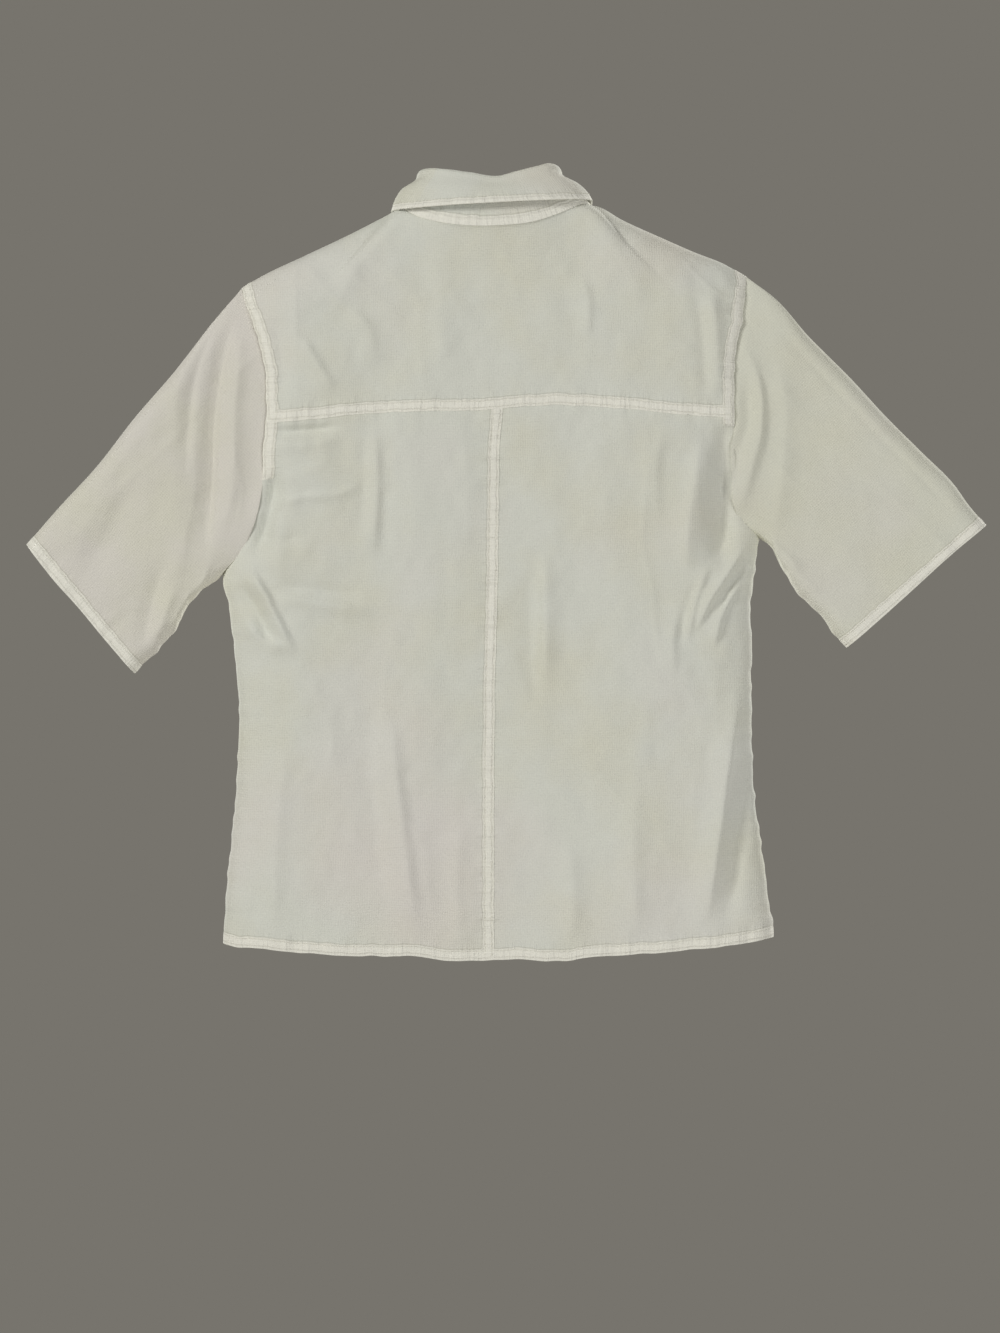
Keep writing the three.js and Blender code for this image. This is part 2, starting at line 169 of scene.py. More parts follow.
edge_l = sewn(place_down(ARMHOLE_L + SIDE_L), 0.6, 7, 101)
edge_r = sewn(place_down(ARMHOLE_R + SIDE_R), 0.8, 7, 103)
back_top = height_along(SHOULDER_LINE + NECK_BACK + SHOULDER_LINE_R)
front_top = height_along(SHOULDER_LINE + NECK_FRONT + SHOULDER_LINE_R)
yoke_z = sewn(height_along(YOKE_SEAM), 0.5, 9, 105)
hem_z = sewn(height_along(HEM), 0.6, 11, 107)
centre_x = sewn(place_down(CENTRE_BACK), 0.4, 9, 109)
print("outline: shoulders %.0f mm, hem %.0f mm" % (227.1 + 228.8, edge_r(-655) - edge_l(-655)))

# %% [markdown]
# ## How deep the shirt is
# Hanging, a shirt is a flattened tube. Its back and front are about 45 mm apart over most of
# their width, and close up with a soft round at the shoulders and the sides. Noise with a
# fixed seed stands in for the small unevenness of washed cotton that was never ironed.


# %% Depth and unevenness
CHEST_DEEP = 22
ARMHOLE_DEEP = 15
NECK_DEEP = 29
EDGE_GAP = 0.06  # between back and front where they meet, so that the two never cross


def soft_edge(distance, radius):
    """A quarter round: 0 at the edge, 1 from the radius on."""
    return np.sqrt(np.clip(1 - (1 - np.clip(distance / radius, 0, 1)) ** 2, 0, 1))


def oval(t):
    return np.clip(1 - np.abs(t) ** 2.6, 0, 1) ** (1 / 2.6)


def armhole_deep(z, side):
    top, low = (SHOULDER_L, ARMPIT_L) if side < 0 else (SHOULDER_R, ARMPIT_R)
    return ARMHOLE_DEEP * np.sin(np.pi * np.clip((top[1] - z) / (top[1] - low[1]), 0, 1)) ** 0.6


def depth(x, z, top):
    """Half depth of the body at a place on a sheet with that top edge."""
    from_side = np.minimum(x - edge_l(z), edge_r(z) - x)
    edge = np.where(x < 0, armhole_deep(z, -1), armhole_deep(z, 1))
    body = mix(edge, CHEST_DEEP, soft_edge(from_side, 66))
    down = top(x) - z
    neck = NECK_DEEP * oval((x + 2) / (88 + 1.6 * np.clip(down, 0, 60)))
    return EDGE_GAP + mix(neck, body, soft_edge(down, 56))


def fold(x, z, path, width, height, skew=0.0, taper=0.3):
    """The height of a fold that runs along a path: a ridge, or a valley if height is negative."""
    line = through(path, np.linspace(0, 1, 24))
    best = np.full(np.shape(x), 1e9)
    signed, share = np.zeros_like(best), np.zeros_like(best)
    for k in range(len(line) - 1):
        p, d = line[k], line[k + 1] - line[k]
        t = ((x - p[0]) * d[0] + (z - p[1]) * d[1]) / (d @ d)
        c = np.clip(t, 0, 1)
        away = np.hypot(x - p[0] - c * d[0], z - p[1] - c * d[1])
        side = np.sign((x - p[0]) * d[1] - (z - p[1]) * d[0])
        near = away < best
        best = np.where(near, away, best)
        signed = np.where(near, away * side, signed)
        share = np.where(near, (k + c) / (len(line) - 1), share)
    w = width * (1 + skew * np.sign(signed))
    ends = smooth(share / taper) * smooth((1 - share) / taper)
    return height * ends * np.exp(-(np.abs(signed / w) ** 1.6))


def uneven(x, z, seed, share=1.0):
    """Washed cotton: long upright swells, then smaller ones, then creases and crumple."""
    lean = x + 9 * waves(x, z, 70, 60, seed + 4)
    crease = (1 - np.abs(waves(lean, z, 40, 120, seed + 5))) ** 5
    across = (1 - np.abs(waves(x, lean + z, 90, 34, seed + 6))) ** 6
    return share * (
        1.5 * waves(x, z, 62, 260, seed)
        + 0.8 * waves(x, z, 34, 120, seed + 1)
        + 0.75 * waves(x + 0.3 * z, z, 21, 33, seed + 2)
        + 0.36 * waves(x, z, 9, 12, seed + 3)
        + 0.9 * crease * smooth(waves(x, z, 80, 90, seed + 7) * 1.5 + 0.4)
        + 0.6 * across * smooth(waves(x, z, 80, 70, seed + 8) * 1.5 + 0.3)
    )


print(
    "depth at the middle of the back: %.1f mm" % depth(np.array(60.0), np.array(-400.0), back_top)
)

# %% [markdown]
# ## Folds of the back
# A fold shows as a ridge that the light catches beside a valley in shade. Each one below is a
# line down the cloth with a width and a height in mm. Most start where something pulls: at
# the armpits, where the sleeve hangs over the side, and under the yoke.

# %% The back sheet
BACK_FOLDS = [
    # a path (x, z), width, height, skew
    ([(-108, -196), (-106, -250), (-110, -325)], 8, 2.4, 0.4),
    ([(-118, -200), (-117, -250), (-120, -300)], 6, -1.2, 0.0),
    ([(-96, -440), (-88, -520), (-78, -600), (-68, -668)], 10, 3.0, 0.35),
    ([(-112, -430), (-108, -540), (-98, -640)], 12, -1.8, 0.0),
    ([(44, -310), (45, -360), (44, -440)], 8, 2.8, -0.4),
    ([(30, -320), (32, -390), (34, -460)], 9, -1.5, 0.0),
    ([(-208, -203), (-176, -203), (-134, -198)], 5, -3.4, 0.0),
    ([(-204, -216), (-172, -217), (-138, -212)], 7, 1.8, 0.3),
    ([(-204, -246), (-176, -244), (-140, -226)], 9, 1.0, 0.3),
    ([(-208, -274), (-166, -262), (-140, -260), (-116, -248)], 4, 1.5, 0.5),
    ([(-214, -300), (-196, -304), (-170, -296)], 8, -1.8, 0.0),
    ([(-226, -318), (-208, -348), (-190, -384), (-176, -412)], 6, 3.4, 0.4),
    ([(-232, -336), (-214, -366), (-198, -402)], 6, -2.8, 0.0),
    ([(-228, -372), (-206, -392), (-182, -402)], 6, 2.2, 0.3),
    ([(-206, -350), (-165, -358), (-106, -366)], 6, 2.2, 0.4),
    ([(-200, -340), (-160, -347), (-116, -352)], 6, -1.3, 0.0),
    ([(-212, -250), (-196, -300), (-192, -350)], 12, 2.0, 0.2),
    ([(206, -186), (207, -236), (205, -280), (203, -334)], 12, -7.5, 0.0),
    ([(-198, -232), (-203, -276), (-218, -322)], 9, -7.0, 0.0),
    ([(186, -206), (178, -256), (172, -310), (176, -346)], 10, 3.2, -0.3),
    ([(228, -304), (210, -332), (194, -356), (178, -390)], 4, 2.4, 0.5),
    ([(230, -318), (212, -344), (196, -372)], 4, -1.7, 0.0),
    ([(224, -336), (206, -366), (196, -404)], 4, 1.9, 0.5),
    ([(194, -322), (182, -350), (172, -396)], 5, 2.2, 0.4),
    ([(186, -330), (172, -366), (164, -404)], 6, -1.7, 0.0),
    ([(168, -356), (160, -392), (162, -430)], 6, 1.4, 0.3),
    ([(150, -196), (144, -240), (146, -290)], 9, 1.6, 0.3),
    ([(221, -430), (208, -520), (198, -590), (186, -664)], 9, 3.8, 0.35),
    ([(236, -440), (226, -530), (214, -600), (206, -664)], 9, -3.0, 0.0),
    ([(128, -505), (124, -580), (128, -668)], 12, 2.0, 0.2),
    ([(-188, -470), (-196, -560), (-200, -668)], 12, 2.2, 0.2),
    ([(-30, -540), (-34, -610), (-30, -676)], 9, 1.7, 0.0),
    ([(62, -560), (70, -620), (66, -678)], 10, 1.8, 0.0),
]
YOKE_FOLDS = [
    ([(78, -60), (84, -90), (82, -128)], 7, 1.6, 0.4),
    ([(-176, -116), (-160, -142), (-142, -172)], 7, 2.0, 0.4),
    ([(-128, -90), (-112, -118), (-108, -150)], 9, 1.5, 0.3),
    ([(-198, -92), (-192, -140), (-190, -186)], 8, -1.6, 0.0),
    ([(190, -66), (198, -110), (200, -180)], 10, 2.4, 0.3),
    ([(178, -70), (186, -112), (190, -180)], 7, -1.8, 0.0),
    ([(-60, -44), (-48, -100), (-52, -160)], 13, 1.4, 0.0),
    ([(-84, -18), (-120, -52), (-150, -110)], 8, 0.6, 0.0),
    ([(82, -12), (112, -46), (138, -104)], 8, 0.6, 0.0),
]


FOLD_STRENGTH = 1.8  # one factor for all the folds of the back


def seam_pucker(away, along, seed, height=0.55, reach=11, size=9):
    """Ripples that cross a seam and die out away from it."""
    ripple = waves(along, away, size, 26, seed) + 0.5 * waves(
        along, away, size / 2.3, 14, seed + 1,
    )
    return height * ripple * np.exp(-((np.abs(away) / reach) ** 1.5))


def back_y(x, z):
    """y of the back sheet: its depth, its folds and the ripples along its seams."""
    folds = FOLD_STRENGTH * sum(fold(x, z, *f) for f in BACK_FOLDS)
    on_yoke = FOLD_STRENGTH * sum(fold(x, z, *f) for f in YOKE_FOLDS)
    below = smooth((yoke_z(x) - z) / 14)
    out = mix(on_yoke, folds, below) + uneven(x, z, 11, 1.25)
    out = out + seam_pucker(x - centre_x(z), z, 21, 0.7, 13, 8) * below
    out = out + seam_pucker(z - yoke_z(x), x, 23, 0.65, 13, 8)
    out = out + seam_pucker(x - edge_l(z), z, 25, 1.0) + seam_pucker(edge_r(z) - x, z, 27, 1.0)
    out = out + seam_pucker(z - hem_z(x), x, 29, 0.8, 16, 12)
    gathers = 0.7 * waves(x, z, 9, 60, 31) * below * smooth((z - yoke_z(x) + 46) / 40)
    out = out + gathers * (smooth((x - 60) / 30) + smooth((-120 - x) / 30))
    open_up = soft_edge(np.minimum(x - edge_l(z), edge_r(z) - x), 26) * soft_edge(
        back_top(x) - z, 22,
    )
    return -(depth(x, z, back_top) + out * mix(0.12, 1, open_up))


FLAP_TOP = -140.0  # the fronts fold open below this height


def fold_line(z, side):
    """How far from the middle a front folds back, at a height."""
    return 40 + 125 * (FLAP_TOP + 0.76 * side - z) / 539


def front_y(x, z, step=0.0):
    """y of the front sheet. step is how far the button side lies inside the other."""
    out = uneven(x, z, 41, 0.9)
    out = out + 2.0 * fold(x, z, [(-120, -260), (-126, -430), (-118, -668)], 15, 1.2)
    out = out + 2.0 * fold(x, z, [(128, -240), (122, -420), (132, -668)], 14, 1.3)
    out = out + fold(x, z, [(-70, -70), (-96, -150), (-108, -240)], 12, 2.2)
    out = out + fold(x, z, [(72, -66), (98, -150), (112, -236)], 12, 2.2)
    out = out + fold(x, z, [(232, -312), (204, -350), (178, -400)], 9, 3.4)
    out = out + fold(x, z, [(-238, -336), (-206, -372), (-180, -420)], 9, 3.4)
    out = out + seam_pucker(x - edge_l(z), z, 45, 0.8) + seam_pucker(edge_r(z) - x, z, 47, 0.8)
    out = out + seam_pucker(z - hem_z(x), x, 49, 0.5, 16, 17)
    # The sheet lies calm along the front edges, and where the fronts fold open.
    calm = 1 - 0.8 * np.exp(-((x / 20) ** 2))
    crease = np.where(z < FLAP_TOP, np.abs(x) - fold_line(z, np.sign(x)), 99)
    calm = calm * (1 - 0.9 * np.exp(-((crease / 16) ** 2)))
    open_up = soft_edge(np.minimum(x - edge_l(z), edge_r(z) - x), 26) * soft_edge(
        front_top(x) - z, 22,
    )
    return depth(x, z, front_top) + out * calm * mix(0.12, 1, open_up) - step


print("folds on the back:", len(BACK_FOLDS) + len(YOKE_FOLDS))

# %% [markdown]
# ## Cloth as a mesh
# Each cut piece is a grid of points, made into a closed shell of real thickness. Two numbers
# ride on every point: its place on the flat cloth, which the weave follows, and its distance
# to the nearest folded edge, which the material uses to draw seam bands crisply.


# %% Making a piece of cloth
CLOTH = 0.6  # mm
BAND = 10.0  # width of a felled seam or hem, mm
made = {}


def cloth_piece(
    name,
    points,
    outward,
    flat_place,
    to_fold,
    material,
    has=None,
    thick=CLOTH,
    ply=0.45,
    along=None,
    alone=None,
):
    """A closed shell of cloth round a grid of points."""
    # to_fold is the distance to the nearest folded edge, and along is the place on that edge.
    rows, columns = points.shape[:2]
    normal = np.cross(np.gradient(points, axis=1), np.gradient(points, axis=0))
    normal /= np.maximum(np.linalg.norm(normal, axis=-1, keepdims=True), 1e-9)
    turned = np.sum(normal * outward) < 0
    normal = -normal if turned else normal
    doubled = ply * smooth((BAND + 1.2 - to_fold) / 2.4)
    outer = points + normal * (thick / 2 + doubled)[..., None]
    inner = points - normal * thick / 2
    ids = np.arange(rows * columns).reshape(rows, columns)
    quads = np.stack([ids[:-1, :-1], ids[:-1, 1:], ids[1:, 1:], ids[1:, :-1]], -1)
    quads = (quads if has is None else quads[has]).reshape(-1, 4)
    quads = quads[:, ::-1] if turned else quads
    count = rows * columns
    start, end = quads.ravel(), np.roll(quads, -1, axis=1).ravel()
    rim = ~np.isin(start * count + end, end * count + start)
    start, end = start[rim], end[rim]
    walls = np.stack([end, start, start + count, end + count], -1)
    faces = np.concatenate([quads, quads[:, ::-1] + count, walls])
    used, faces = np.unique(faces, return_inverse=True)
    vertices = np.concatenate([outer.reshape(-1, 3), inner.reshape(-1, 3)])[used] / 1000
    mesh = bpy.data.meshes.new(name)
    mesh.from_pydata(vertices.tolist(), [], faces.reshape(-1, 4).tolist())
    mesh.polygons.foreach_set("use_smooth", np.ones(len(mesh.polygons), bool))
    mesh.set_sharp_from_angle(angle=math.radians(55))
    place = np.tile(np.stack(flat_place, -1).reshape(-1, 2) / 1000, (2, 1))[used]
    corner = np.zeros(len(mesh.loops), int)
    mesh.loops.foreach_get("vertex_index", corner)
    mesh.uv_layers.new(name="UVMap").data.foreach_set("uv", place[corner].ravel())
    distance = np.tile(to_fold.ravel(), 2)[used]
    mesh.attributes.new("to_fold", "FLOAT", "POINT").data.foreach_set("value", distance)
    drawn = (1 - smooth((to_fold - 9) / 10)) * (1 if alone is None else alone)
    for label, values in (
        ("along", np.zeros_like(to_fold) if along is None else along), ("drawn_in", drawn),
    ):
        values = np.tile(np.broadcast_to(values, to_fold.shape).ravel(), 2)[used]
        mesh.attributes.new(label, "FLOAT", "POINT").data.foreach_set("value", values)
    mesh.materials.append(material)
    piece = bpy.data.objects.new(name, mesh)
    bpy.context.collection.objects.link(piece)
    made[name] = piece
    return piece


def grid(columns, rows):
    """Two arrays of shares from 0 to 1, across and down."""
    return np.meshgrid(np.linspace(0, 1, columns + 1), np.linspace(0, 1, rows + 1))


# %% [markdown]
# ## Cotton crepe
# The cloth is a fine crepe: a small, uneven grid that shows as texture, and a colour that is
# not quite one white, with faint clouds of yellow and grey where it has aged. Where it is
# folded double, in seams and hems, it lets less through and looks creamier.


# %% Materials
def linear(hex_colour):
    """An sRGB hex colour as the linear colour that Blender works in."""
    channels = [int(hex_colour[k : k + 2], 16) / 255 for k in (1, 3, 5)]
    return [c / 12.92 if c <= 0.04045 else ((c + 0.055) / 1.055) ** 2.4 for c in channels] + [1.0]


def add_node(tree, kind, settings=None, **links):
    """One node, with its settings, and its inputs set to values or joined to outputs."""
    node = tree.nodes.new(kind)
    for key, value in (settings or {}).items():
        setattr(node, key, value)
    for key, value in links.items():
        socket = node.inputs[int(key[1:])] if key[0] == "i" and key[1:].isdigit() else node.inputs[
            key.replace("_", " ")
        ]
        if isinstance(value, bpy.types.NodeSocket):
            tree.links.new(value, socket)
        else:
            socket.default_value = value
    return node


def maths(tree, operation, a, b=0.0, clamp=False):
    settings = {"operation": operation, "use_clamp": clamp}
    return add_node(tree, "ShaderNodeMath", settings, i0=a, i1=b).outputs[0]


def blended(tree, share, a, b):
    """A colour between two others."""
    node = add_node(tree, "ShaderNodeMix", {"data_type": "RGBA"}, i0=share, i6=a, i7=b)
    return node.outputs[2]


def cotton(name, colour="#dee0d7", turn=0.0, pitch=2.0, all_doubled=False):
    """Cotton crepe. turn is the angle of its threads in degrees, pitch the width of a rib in mm."""
    material = bpy.data.materials.new(name)
    material.use_nodes = True
    tree = material.node_tree
    shader = tree.nodes["Principled BSDF"]
    place = add_node(tree, "ShaderNodeUVMap", {"uv_map": "UVMap"}).outputs[0]
    # Threads wander a little, so the ribs are never ruled lines.
    wander = add_node(
        tree, "ShaderNodeTexNoise", {}, Vector=place, Scale=70.0, Detail=2.0,
    ).outputs["Color"]
    offset = add_node(
        tree,
        "ShaderNodeVectorMath",
        {"operation": "MULTIPLY_ADD"},
        i0=wander,
        i1=(0.004, 0.004, 0),
        i2=place,
    )
    turned = add_node(tree, "ShaderNodeMapping", {}, Vector=offset.outputs[0])
    turned.inputs["Rotation"].default_value[2] = math.radians(turn)
    turned = turned.outputs[0]
    axes = add_node(tree, "ShaderNodeSeparateXYZ", {}, i0=turned)
    per_metre = 2 * math.pi / (pitch / 1000)
    rib = maths(tree, "SINE", maths(tree, "MULTIPLY", axes.outputs[0], per_metre))
    weft = maths(tree, "SINE", maths(tree, "MULTIPLY", axes.outputs[1], per_metre * 0.93))
    grain = add_node(
        tree, "ShaderNodeTexNoise", {}, Vector=turned, Scale=620.0, Detail=2.0, Roughness=0.6,
    ).outputs["Fac"]
    weave = maths(tree, "MULTIPLY", weft, 0.17)
    weave = maths(tree, "ADD", maths(tree, "MULTIPLY", rib, 0.22), weave)
    # The grid is strong in some places and rubbed flat in others.
    worn = add_node(
        tree, "ShaderNodeTexNoise", {}, Vector=place, Scale=9.0, Detail=3.0,
    ).outputs["Fac"]
    strength = add_node(
        tree, "ShaderNodeMapRange", {}, i0=worn, i1=0.35, i2=0.65, i3=0.35, i4=1.0,
    ).outputs[0]
    weave = maths(tree, "MULTIPLY", weave, strength)
    texture = maths(tree, "ADD", weave, maths(tree, "MULTIPLY", grain, 1.6))
    # Colour: white, with faint clouds.
    clouds = add_node(
        tree, "ShaderNodeTexNoise", {}, Vector=place, Scale=9.0, Detail=4.0, Roughness=0.55,
    ).outputs["Fac"]
    warm = add_node(tree, "ShaderNodeMapRange", {}, i0=clouds, i1=0.42, i2=0.68).outputs[0]
    aged = add_node(
        tree,
        "ShaderNodeTexNoise",
        {"noise_dimensions": "4D"},
        Vector=place,
        Scale=4.0,
        Detail=2.0,
        W=3.0,
    ).outputs["Fac"]
    cool = add_node(tree, "ShaderNodeMapRange", {}, i0=aged, i1=0.5, i2=0.72).outputs[0]
    colour = blended(tree, maths(tree, "MULTIPLY", warm, 0.75), linear(colour), linear("#dddccb"))
    colour = blended(tree, maths(tree, "MULTIPLY", cool, 0.6), colour, linear("#e3dddb"))
    fold_mm = add_node(tree, "ShaderNodeAttribute", {"attribute_name": "to_fold"}).outputs["Fac"]
    wobble = add_node(
        tree, "ShaderNodeTexNoise", {}, Vector=place, Scale=120.0, Detail=2.0,
    ).outputs["Fac"]
    fold_mm = maths(
        tree, "ADD", fold_mm, maths(tree, "MULTIPLY", maths(tree, "SUBTRACT", wobble, 0.5), 2.6),
    )
    if all_doubled:
        doubled, near = 1.0, 0.25
    else:
        doubled = add_node(
            tree, "ShaderNodeMapRange", {}, i0=fold_mm, i1=BAND + 0.6, i2=BAND - 0.6,
        ).outputs[0]
        near = add_node(
            tree, "ShaderNodeAttribute", {"attribute_name": "drawn_in"},
        ).outputs["Fac"]
    colour = blended(tree, doubled, colour, linear("#f1f0e6"))
    # The stitching draws the cloth in: ripples cross each band, with painted light on their crests and
    # painted shade between them.
    along = add_node(tree, "ShaderNodeAttribute", {"attribute_name": "along"}).outputs["Fac"]
    crossing = add_node(
        tree, "ShaderNodeCombineXYZ", {}, i0=along, i1=maths(tree, "MULTIPLY", fold_mm, 0.12),
    )
    ripple = add_node(
        tree,
        "ShaderNodeTexNoise",
        {},
        Vector=crossing.outputs[0],
        Scale=0.24,
        Detail=2.0,
        Roughness=0.5,
    ).outputs["Fac"]
    ripple = maths(tree, "MULTIPLY", maths(tree, "SUBTRACT", ripple, 0.5), near)
    # Painted light and shade of the ripples: the colour is scaled up on their crests and down between
    # them.
    level = add_node(
        tree, "ShaderNodeMapRange", {}, i0=ripple, i1=-0.22, i2=0.22, i3=0.965, i4=1.045,
    ).outputs[0]
    colour = add_node(
        tree, "ShaderNodeVectorMath", {"operation": "SCALE"}, i0=colour, Scale=level,
    ).outputs[0]
    # A thin shadow line lies along the folded edge of each band.
    line = maths(tree, "ABSOLUTE", maths(tree, "SUBTRACT", fold_mm, BAND + 0.5))
    line = add_node(
        tree, "ShaderNodeMapRange", {}, i0=line, i1=0.8, i2=0.1, i3=0.0, i4=0.4,
    ).outputs[0]
    colour = blended(tree, line, colour, linear("#aeac9c"))
    # Two rows of stitches sink into the band, and painted shade darkens their grooves.
    first = maths(tree, "ABSOLUTE", maths(tree, "SUBTRACT", fold_mm, 2.0))
    second = maths(tree, "ABSOLUTE", maths(tree, "SUBTRACT", fold_mm, 8.3))
    groove_and_shade = add_node(
        tree, "ShaderNodeMapRange", {}, i0=maths(tree, "MINIMUM", first, second), i1=0.9, i2=0.1,
    ).outputs[0]
    # Painted shade along the stitch rows.
    colour = blended(tree, maths(tree, "MULTIPLY", groove_and_shade, 0.22), colour, linear("#c3c1b3"))
    # Painted shade in the pits of the weave and painted light on its ribs.
    weave_light_and_shade = add_node(
        tree, "ShaderNodeMapRange", {}, i0=texture, i1=0.1, i2=1.1, i3=0.91, i4=1.05,
    ).outputs[0]
    colour = add_node(
        tree, "ShaderNodeVectorMath", {"operation": "SCALE"}, i0=colour, Scale=weave_light_and_shade,
    ).outputs[0]
    tree.links.new(colour, shader.inputs["Base Color"])
    shader.inputs["Roughness"].default_value = 0.9
    shader.inputs["Specular IOR Level"].default_value = 0.2
    shader.inputs["Sheen Weight"].default_value = 0.15
    shader.inputs["Sheen Roughness"].default_value = 0.6
    drawn = add_node(tree, "ShaderNodeBump", {}, Strength=0.8, Distance=0.0022, Height=ripple)
    sunk = maths(
        tree,
        "SUBTRACT",
        maths(tree, "MULTIPLY", texture, 0.5),
        maths(tree, "MULTIPLY", groove_and_shade, 0.7),
    )
    bump = add_node(
        tree,
        "ShaderNodeBump",
        {},
        Strength=0.6,
        Distance=0.0009,
        Height=sunk,
        Normal=drawn.outputs[0],
    )
    tree.links.new(bump.outputs[0], shader.inputs["Normal"])
    return material


def plain(name, hex_colour, roughness, speckle=0.04):
    """A plain finish with a little unevenness in its colour."""
    material = bpy.data.materials.new(name)
    material.use_nodes = True
    tree = material.node_tree
    shader = tree.nodes["Principled BSDF"]
    place = add_node(tree, "ShaderNodeTexCoord").outputs["Object"]
    noise = add_node(
        tree, "ShaderNodeTexNoise", {}, Vector=place, Scale=160.0, Detail=3.0,
    ).outputs["Fac"]
    level = add_node(
        tree, "ShaderNodeMapRange", {}, i0=noise, i3=1 - speckle, i4=1 + speckle,
    ).outputs[0]
    colour = add_node(
        tree,
        "ShaderNodeVectorMath",
        {"operation": "SCALE"},
        i0=linear(hex_colour)[:3],
        Scale=level,
    )
    tree.links.new(colour.outputs[0], shader.inputs["Base Color"])
    shader.inputs["Roughness"].default_value = roughness
    return material


crepe = cotton("cotton crepe, upright threads")  # matt, soft, a little off white
crepe_l = cotton("cotton crepe, left sleeve", "#dfdcd4", turn=-49)  # threads run down the sleeve
# The right sleeve's crepe is a little darker and yellower than the body's: painted shade.
crepe_r = cotton("cotton crepe, right sleeve", "#dcddd0", turn=47)
doubled_cotton = cotton("cotton crepe, doubled", all_doubled=True)
thread = plain("cotton sewing thread", "#efeee3", 0.75)
pearl = plain("pearl plastic", "#efeade", 0.28)
print("materials:", len(bpy.data.materials))

# %% [markdown]
# ## Back and yoke
# The yoke goes over the shoulder blades and a little way over each shoulder. The two back
# panels hang from it. They join in a felled seam: the left panel's edge wraps over the right
# one's, and both lie flat under two rows of stitches.


# %% Yoke and back panels
def from_edges(x, z, low_l=ARMPIT_L[1] - 2, low_r=ARMPIT_R[1] - 2):
    """Distance to the armhole seam, where its band shows at that height."""
    left = x - edge_l(z) + 99 * smooth((low_l - z) / 12)
    right = edge_r(z) - x + 99 * smooth((low_r - z) / 12)
    return np.minimum(left, right)


def seam_place(x, z, *seams):
    """Distance to the nearest seam and the place along it. Each seam is (distance, place)."""
    distances = np.abs(np.stack([d + 0 * x for d, _ in seams]))
    nearest = np.argmin(distances, axis=0)[None]
    places = np.stack([p + 0 * x + 900 * k for k, (_, p) in enumerate(seams)])
    first, second = np.sort(distances, axis=0)[:2]
    # Where two seams are equally near, neither draws the cloth in.
    alone = smooth((second - first - 3) / 6)
    return first, np.take_along_axis(places, nearest, 0)[0], alone


def back_panel(side):
    """Yoke seam to hem, and centre back seam to side seam."""
    edge = edge_l if side < 0 else edge_r

    def at(a, b):
        a = 1 - (1 - a) ** 1.3
        guess = mix(-190, -672, b)
        x = mix(centre_x(guess) + BAND / 2, edge(guess), a)
        z = mix(yoke_z(x), hem_z(x), b)
        x = mix(centre_x(z) + BAND / 2, edge(z), a)
        return np.stack([x, back_y(x, z), z], -1)

    return at


COVERED_L, COVERED_R = -246.0, -198.0  # below these the sleeves hang over the armhole seams
for name, side in (("back_left_cloth", -1), ("back_right_cloth", 1)):
    p = back_panel(side)(*grid(110, 220))
    x, z = p[..., 0], p[..., 2]
    seams = [(z - hem_z(x), x), (from_edges(x, z, COVERED_L, COVERED_R), z)]
    # The band of the centre seam lies on the left panel; the right panel only draws in beside it.
    from_centre = centre_x(z) + BAND / 2 - x if side < 0 else x - centre_x(z) + 6
    seams.append((from_centre, z))
    folds, along, alone = seam_place(x, z, *seams)
    cloth_piece(name, p, (0, -1, 0), (x, z), folds, crepe, along=along, alone=alone)

YOKE_FRONT = 26  # how far the yoke comes over the shoulder, mm
neck_from, neck_to, back_rows, front_rows = 62, 140, 92, 12
base_x = np.r_[
    np.linspace(SHOULDER_L[0], NECK_L, neck_from + 1),
    np.linspace(NECK_L, NECK_R, neck_to - neck_from + 1)[1:],
    np.linspace(NECK_R, SHOULDER_R[0], 63)[1:],
]


def yoke_at(x0, row):
    """row runs from -1 at the yoke seam, through 0 on the shoulder line, to 1 at the front."""
    x0, row = np.broadcast_arrays(x0, row)
    top = back_top(x0)
    z = np.where(
        row <= 0, mix(top, yoke_z(x0), np.abs(row) ** 1.5), top - YOKE_FRONT * np.abs(row) ** 1.5,
    )
    share = np.where(x0 < 0, x0 / SHOULDER_L[0], x0 / SHOULDER_R[0])
    edge = np.where(x0 < 0, edge_l(z), edge_r(z))
    tip = np.where(x0 < 0, SHOULDER_L[0], SHOULDER_R[0])
    x = x0 + (edge - tip) * np.clip(share, 0, 1) ** 5
    z = np.minimum(z, top)
    y = np.where(row < 0, back_y(x, z), front_y(x, z) + 0.6 * smooth(row * 5))
    return np.stack(
        [x, np.where(row == 0, np.where((x0 > NECK_L) & (x0 < NECK_R), back_y(x, z), 0), y), z],
        -1,
    )


row = np.r_[np.linspace(-1, 0, back_rows + 1), np.linspace(0, 1, front_rows + 1)[1:]]
p = yoke_at(base_x[None, :], row[:, None])
x, z = p[..., 0], p[..., 2]
cell_row, cell_column = np.mgrid[0 : len(row) - 1, 0 : len(base_x) - 1]
has = (cell_row < back_rows) | (cell_column < neck_from) | (cell_column >= neck_to)
seam = np.where(row[:, None] <= 0, z - yoke_z(x), z - (back_top(x) - YOKE_FRONT))
folds, along, alone = seam_place(x, z, (seam, x), (from_edges(x, z), z))
lengths = np.where(row[:, None] <= 0, z, 2 * back_top(x) - z)
facing = np.zeros_like(p)
facing[..., 1] = np.where(row[:, None] > 0, 1, -1)
cloth_piece("yoke_cloth", p, facing, (x, lengths), folds, crepe, has, along=along, alone=alone)
print("yoke: %d cells over the shoulders and back" % has.sum())

# %% [markdown]
# ## Sleeves
# A sleeve is one piece, joined under the arm, and hangs as a flat tube. It is filled in
# between four lines: the fold along its top, the seam under the arm, the armhole and the cuff.
# Its lower corner hangs over the side of the body, which throws a soft shadow there.

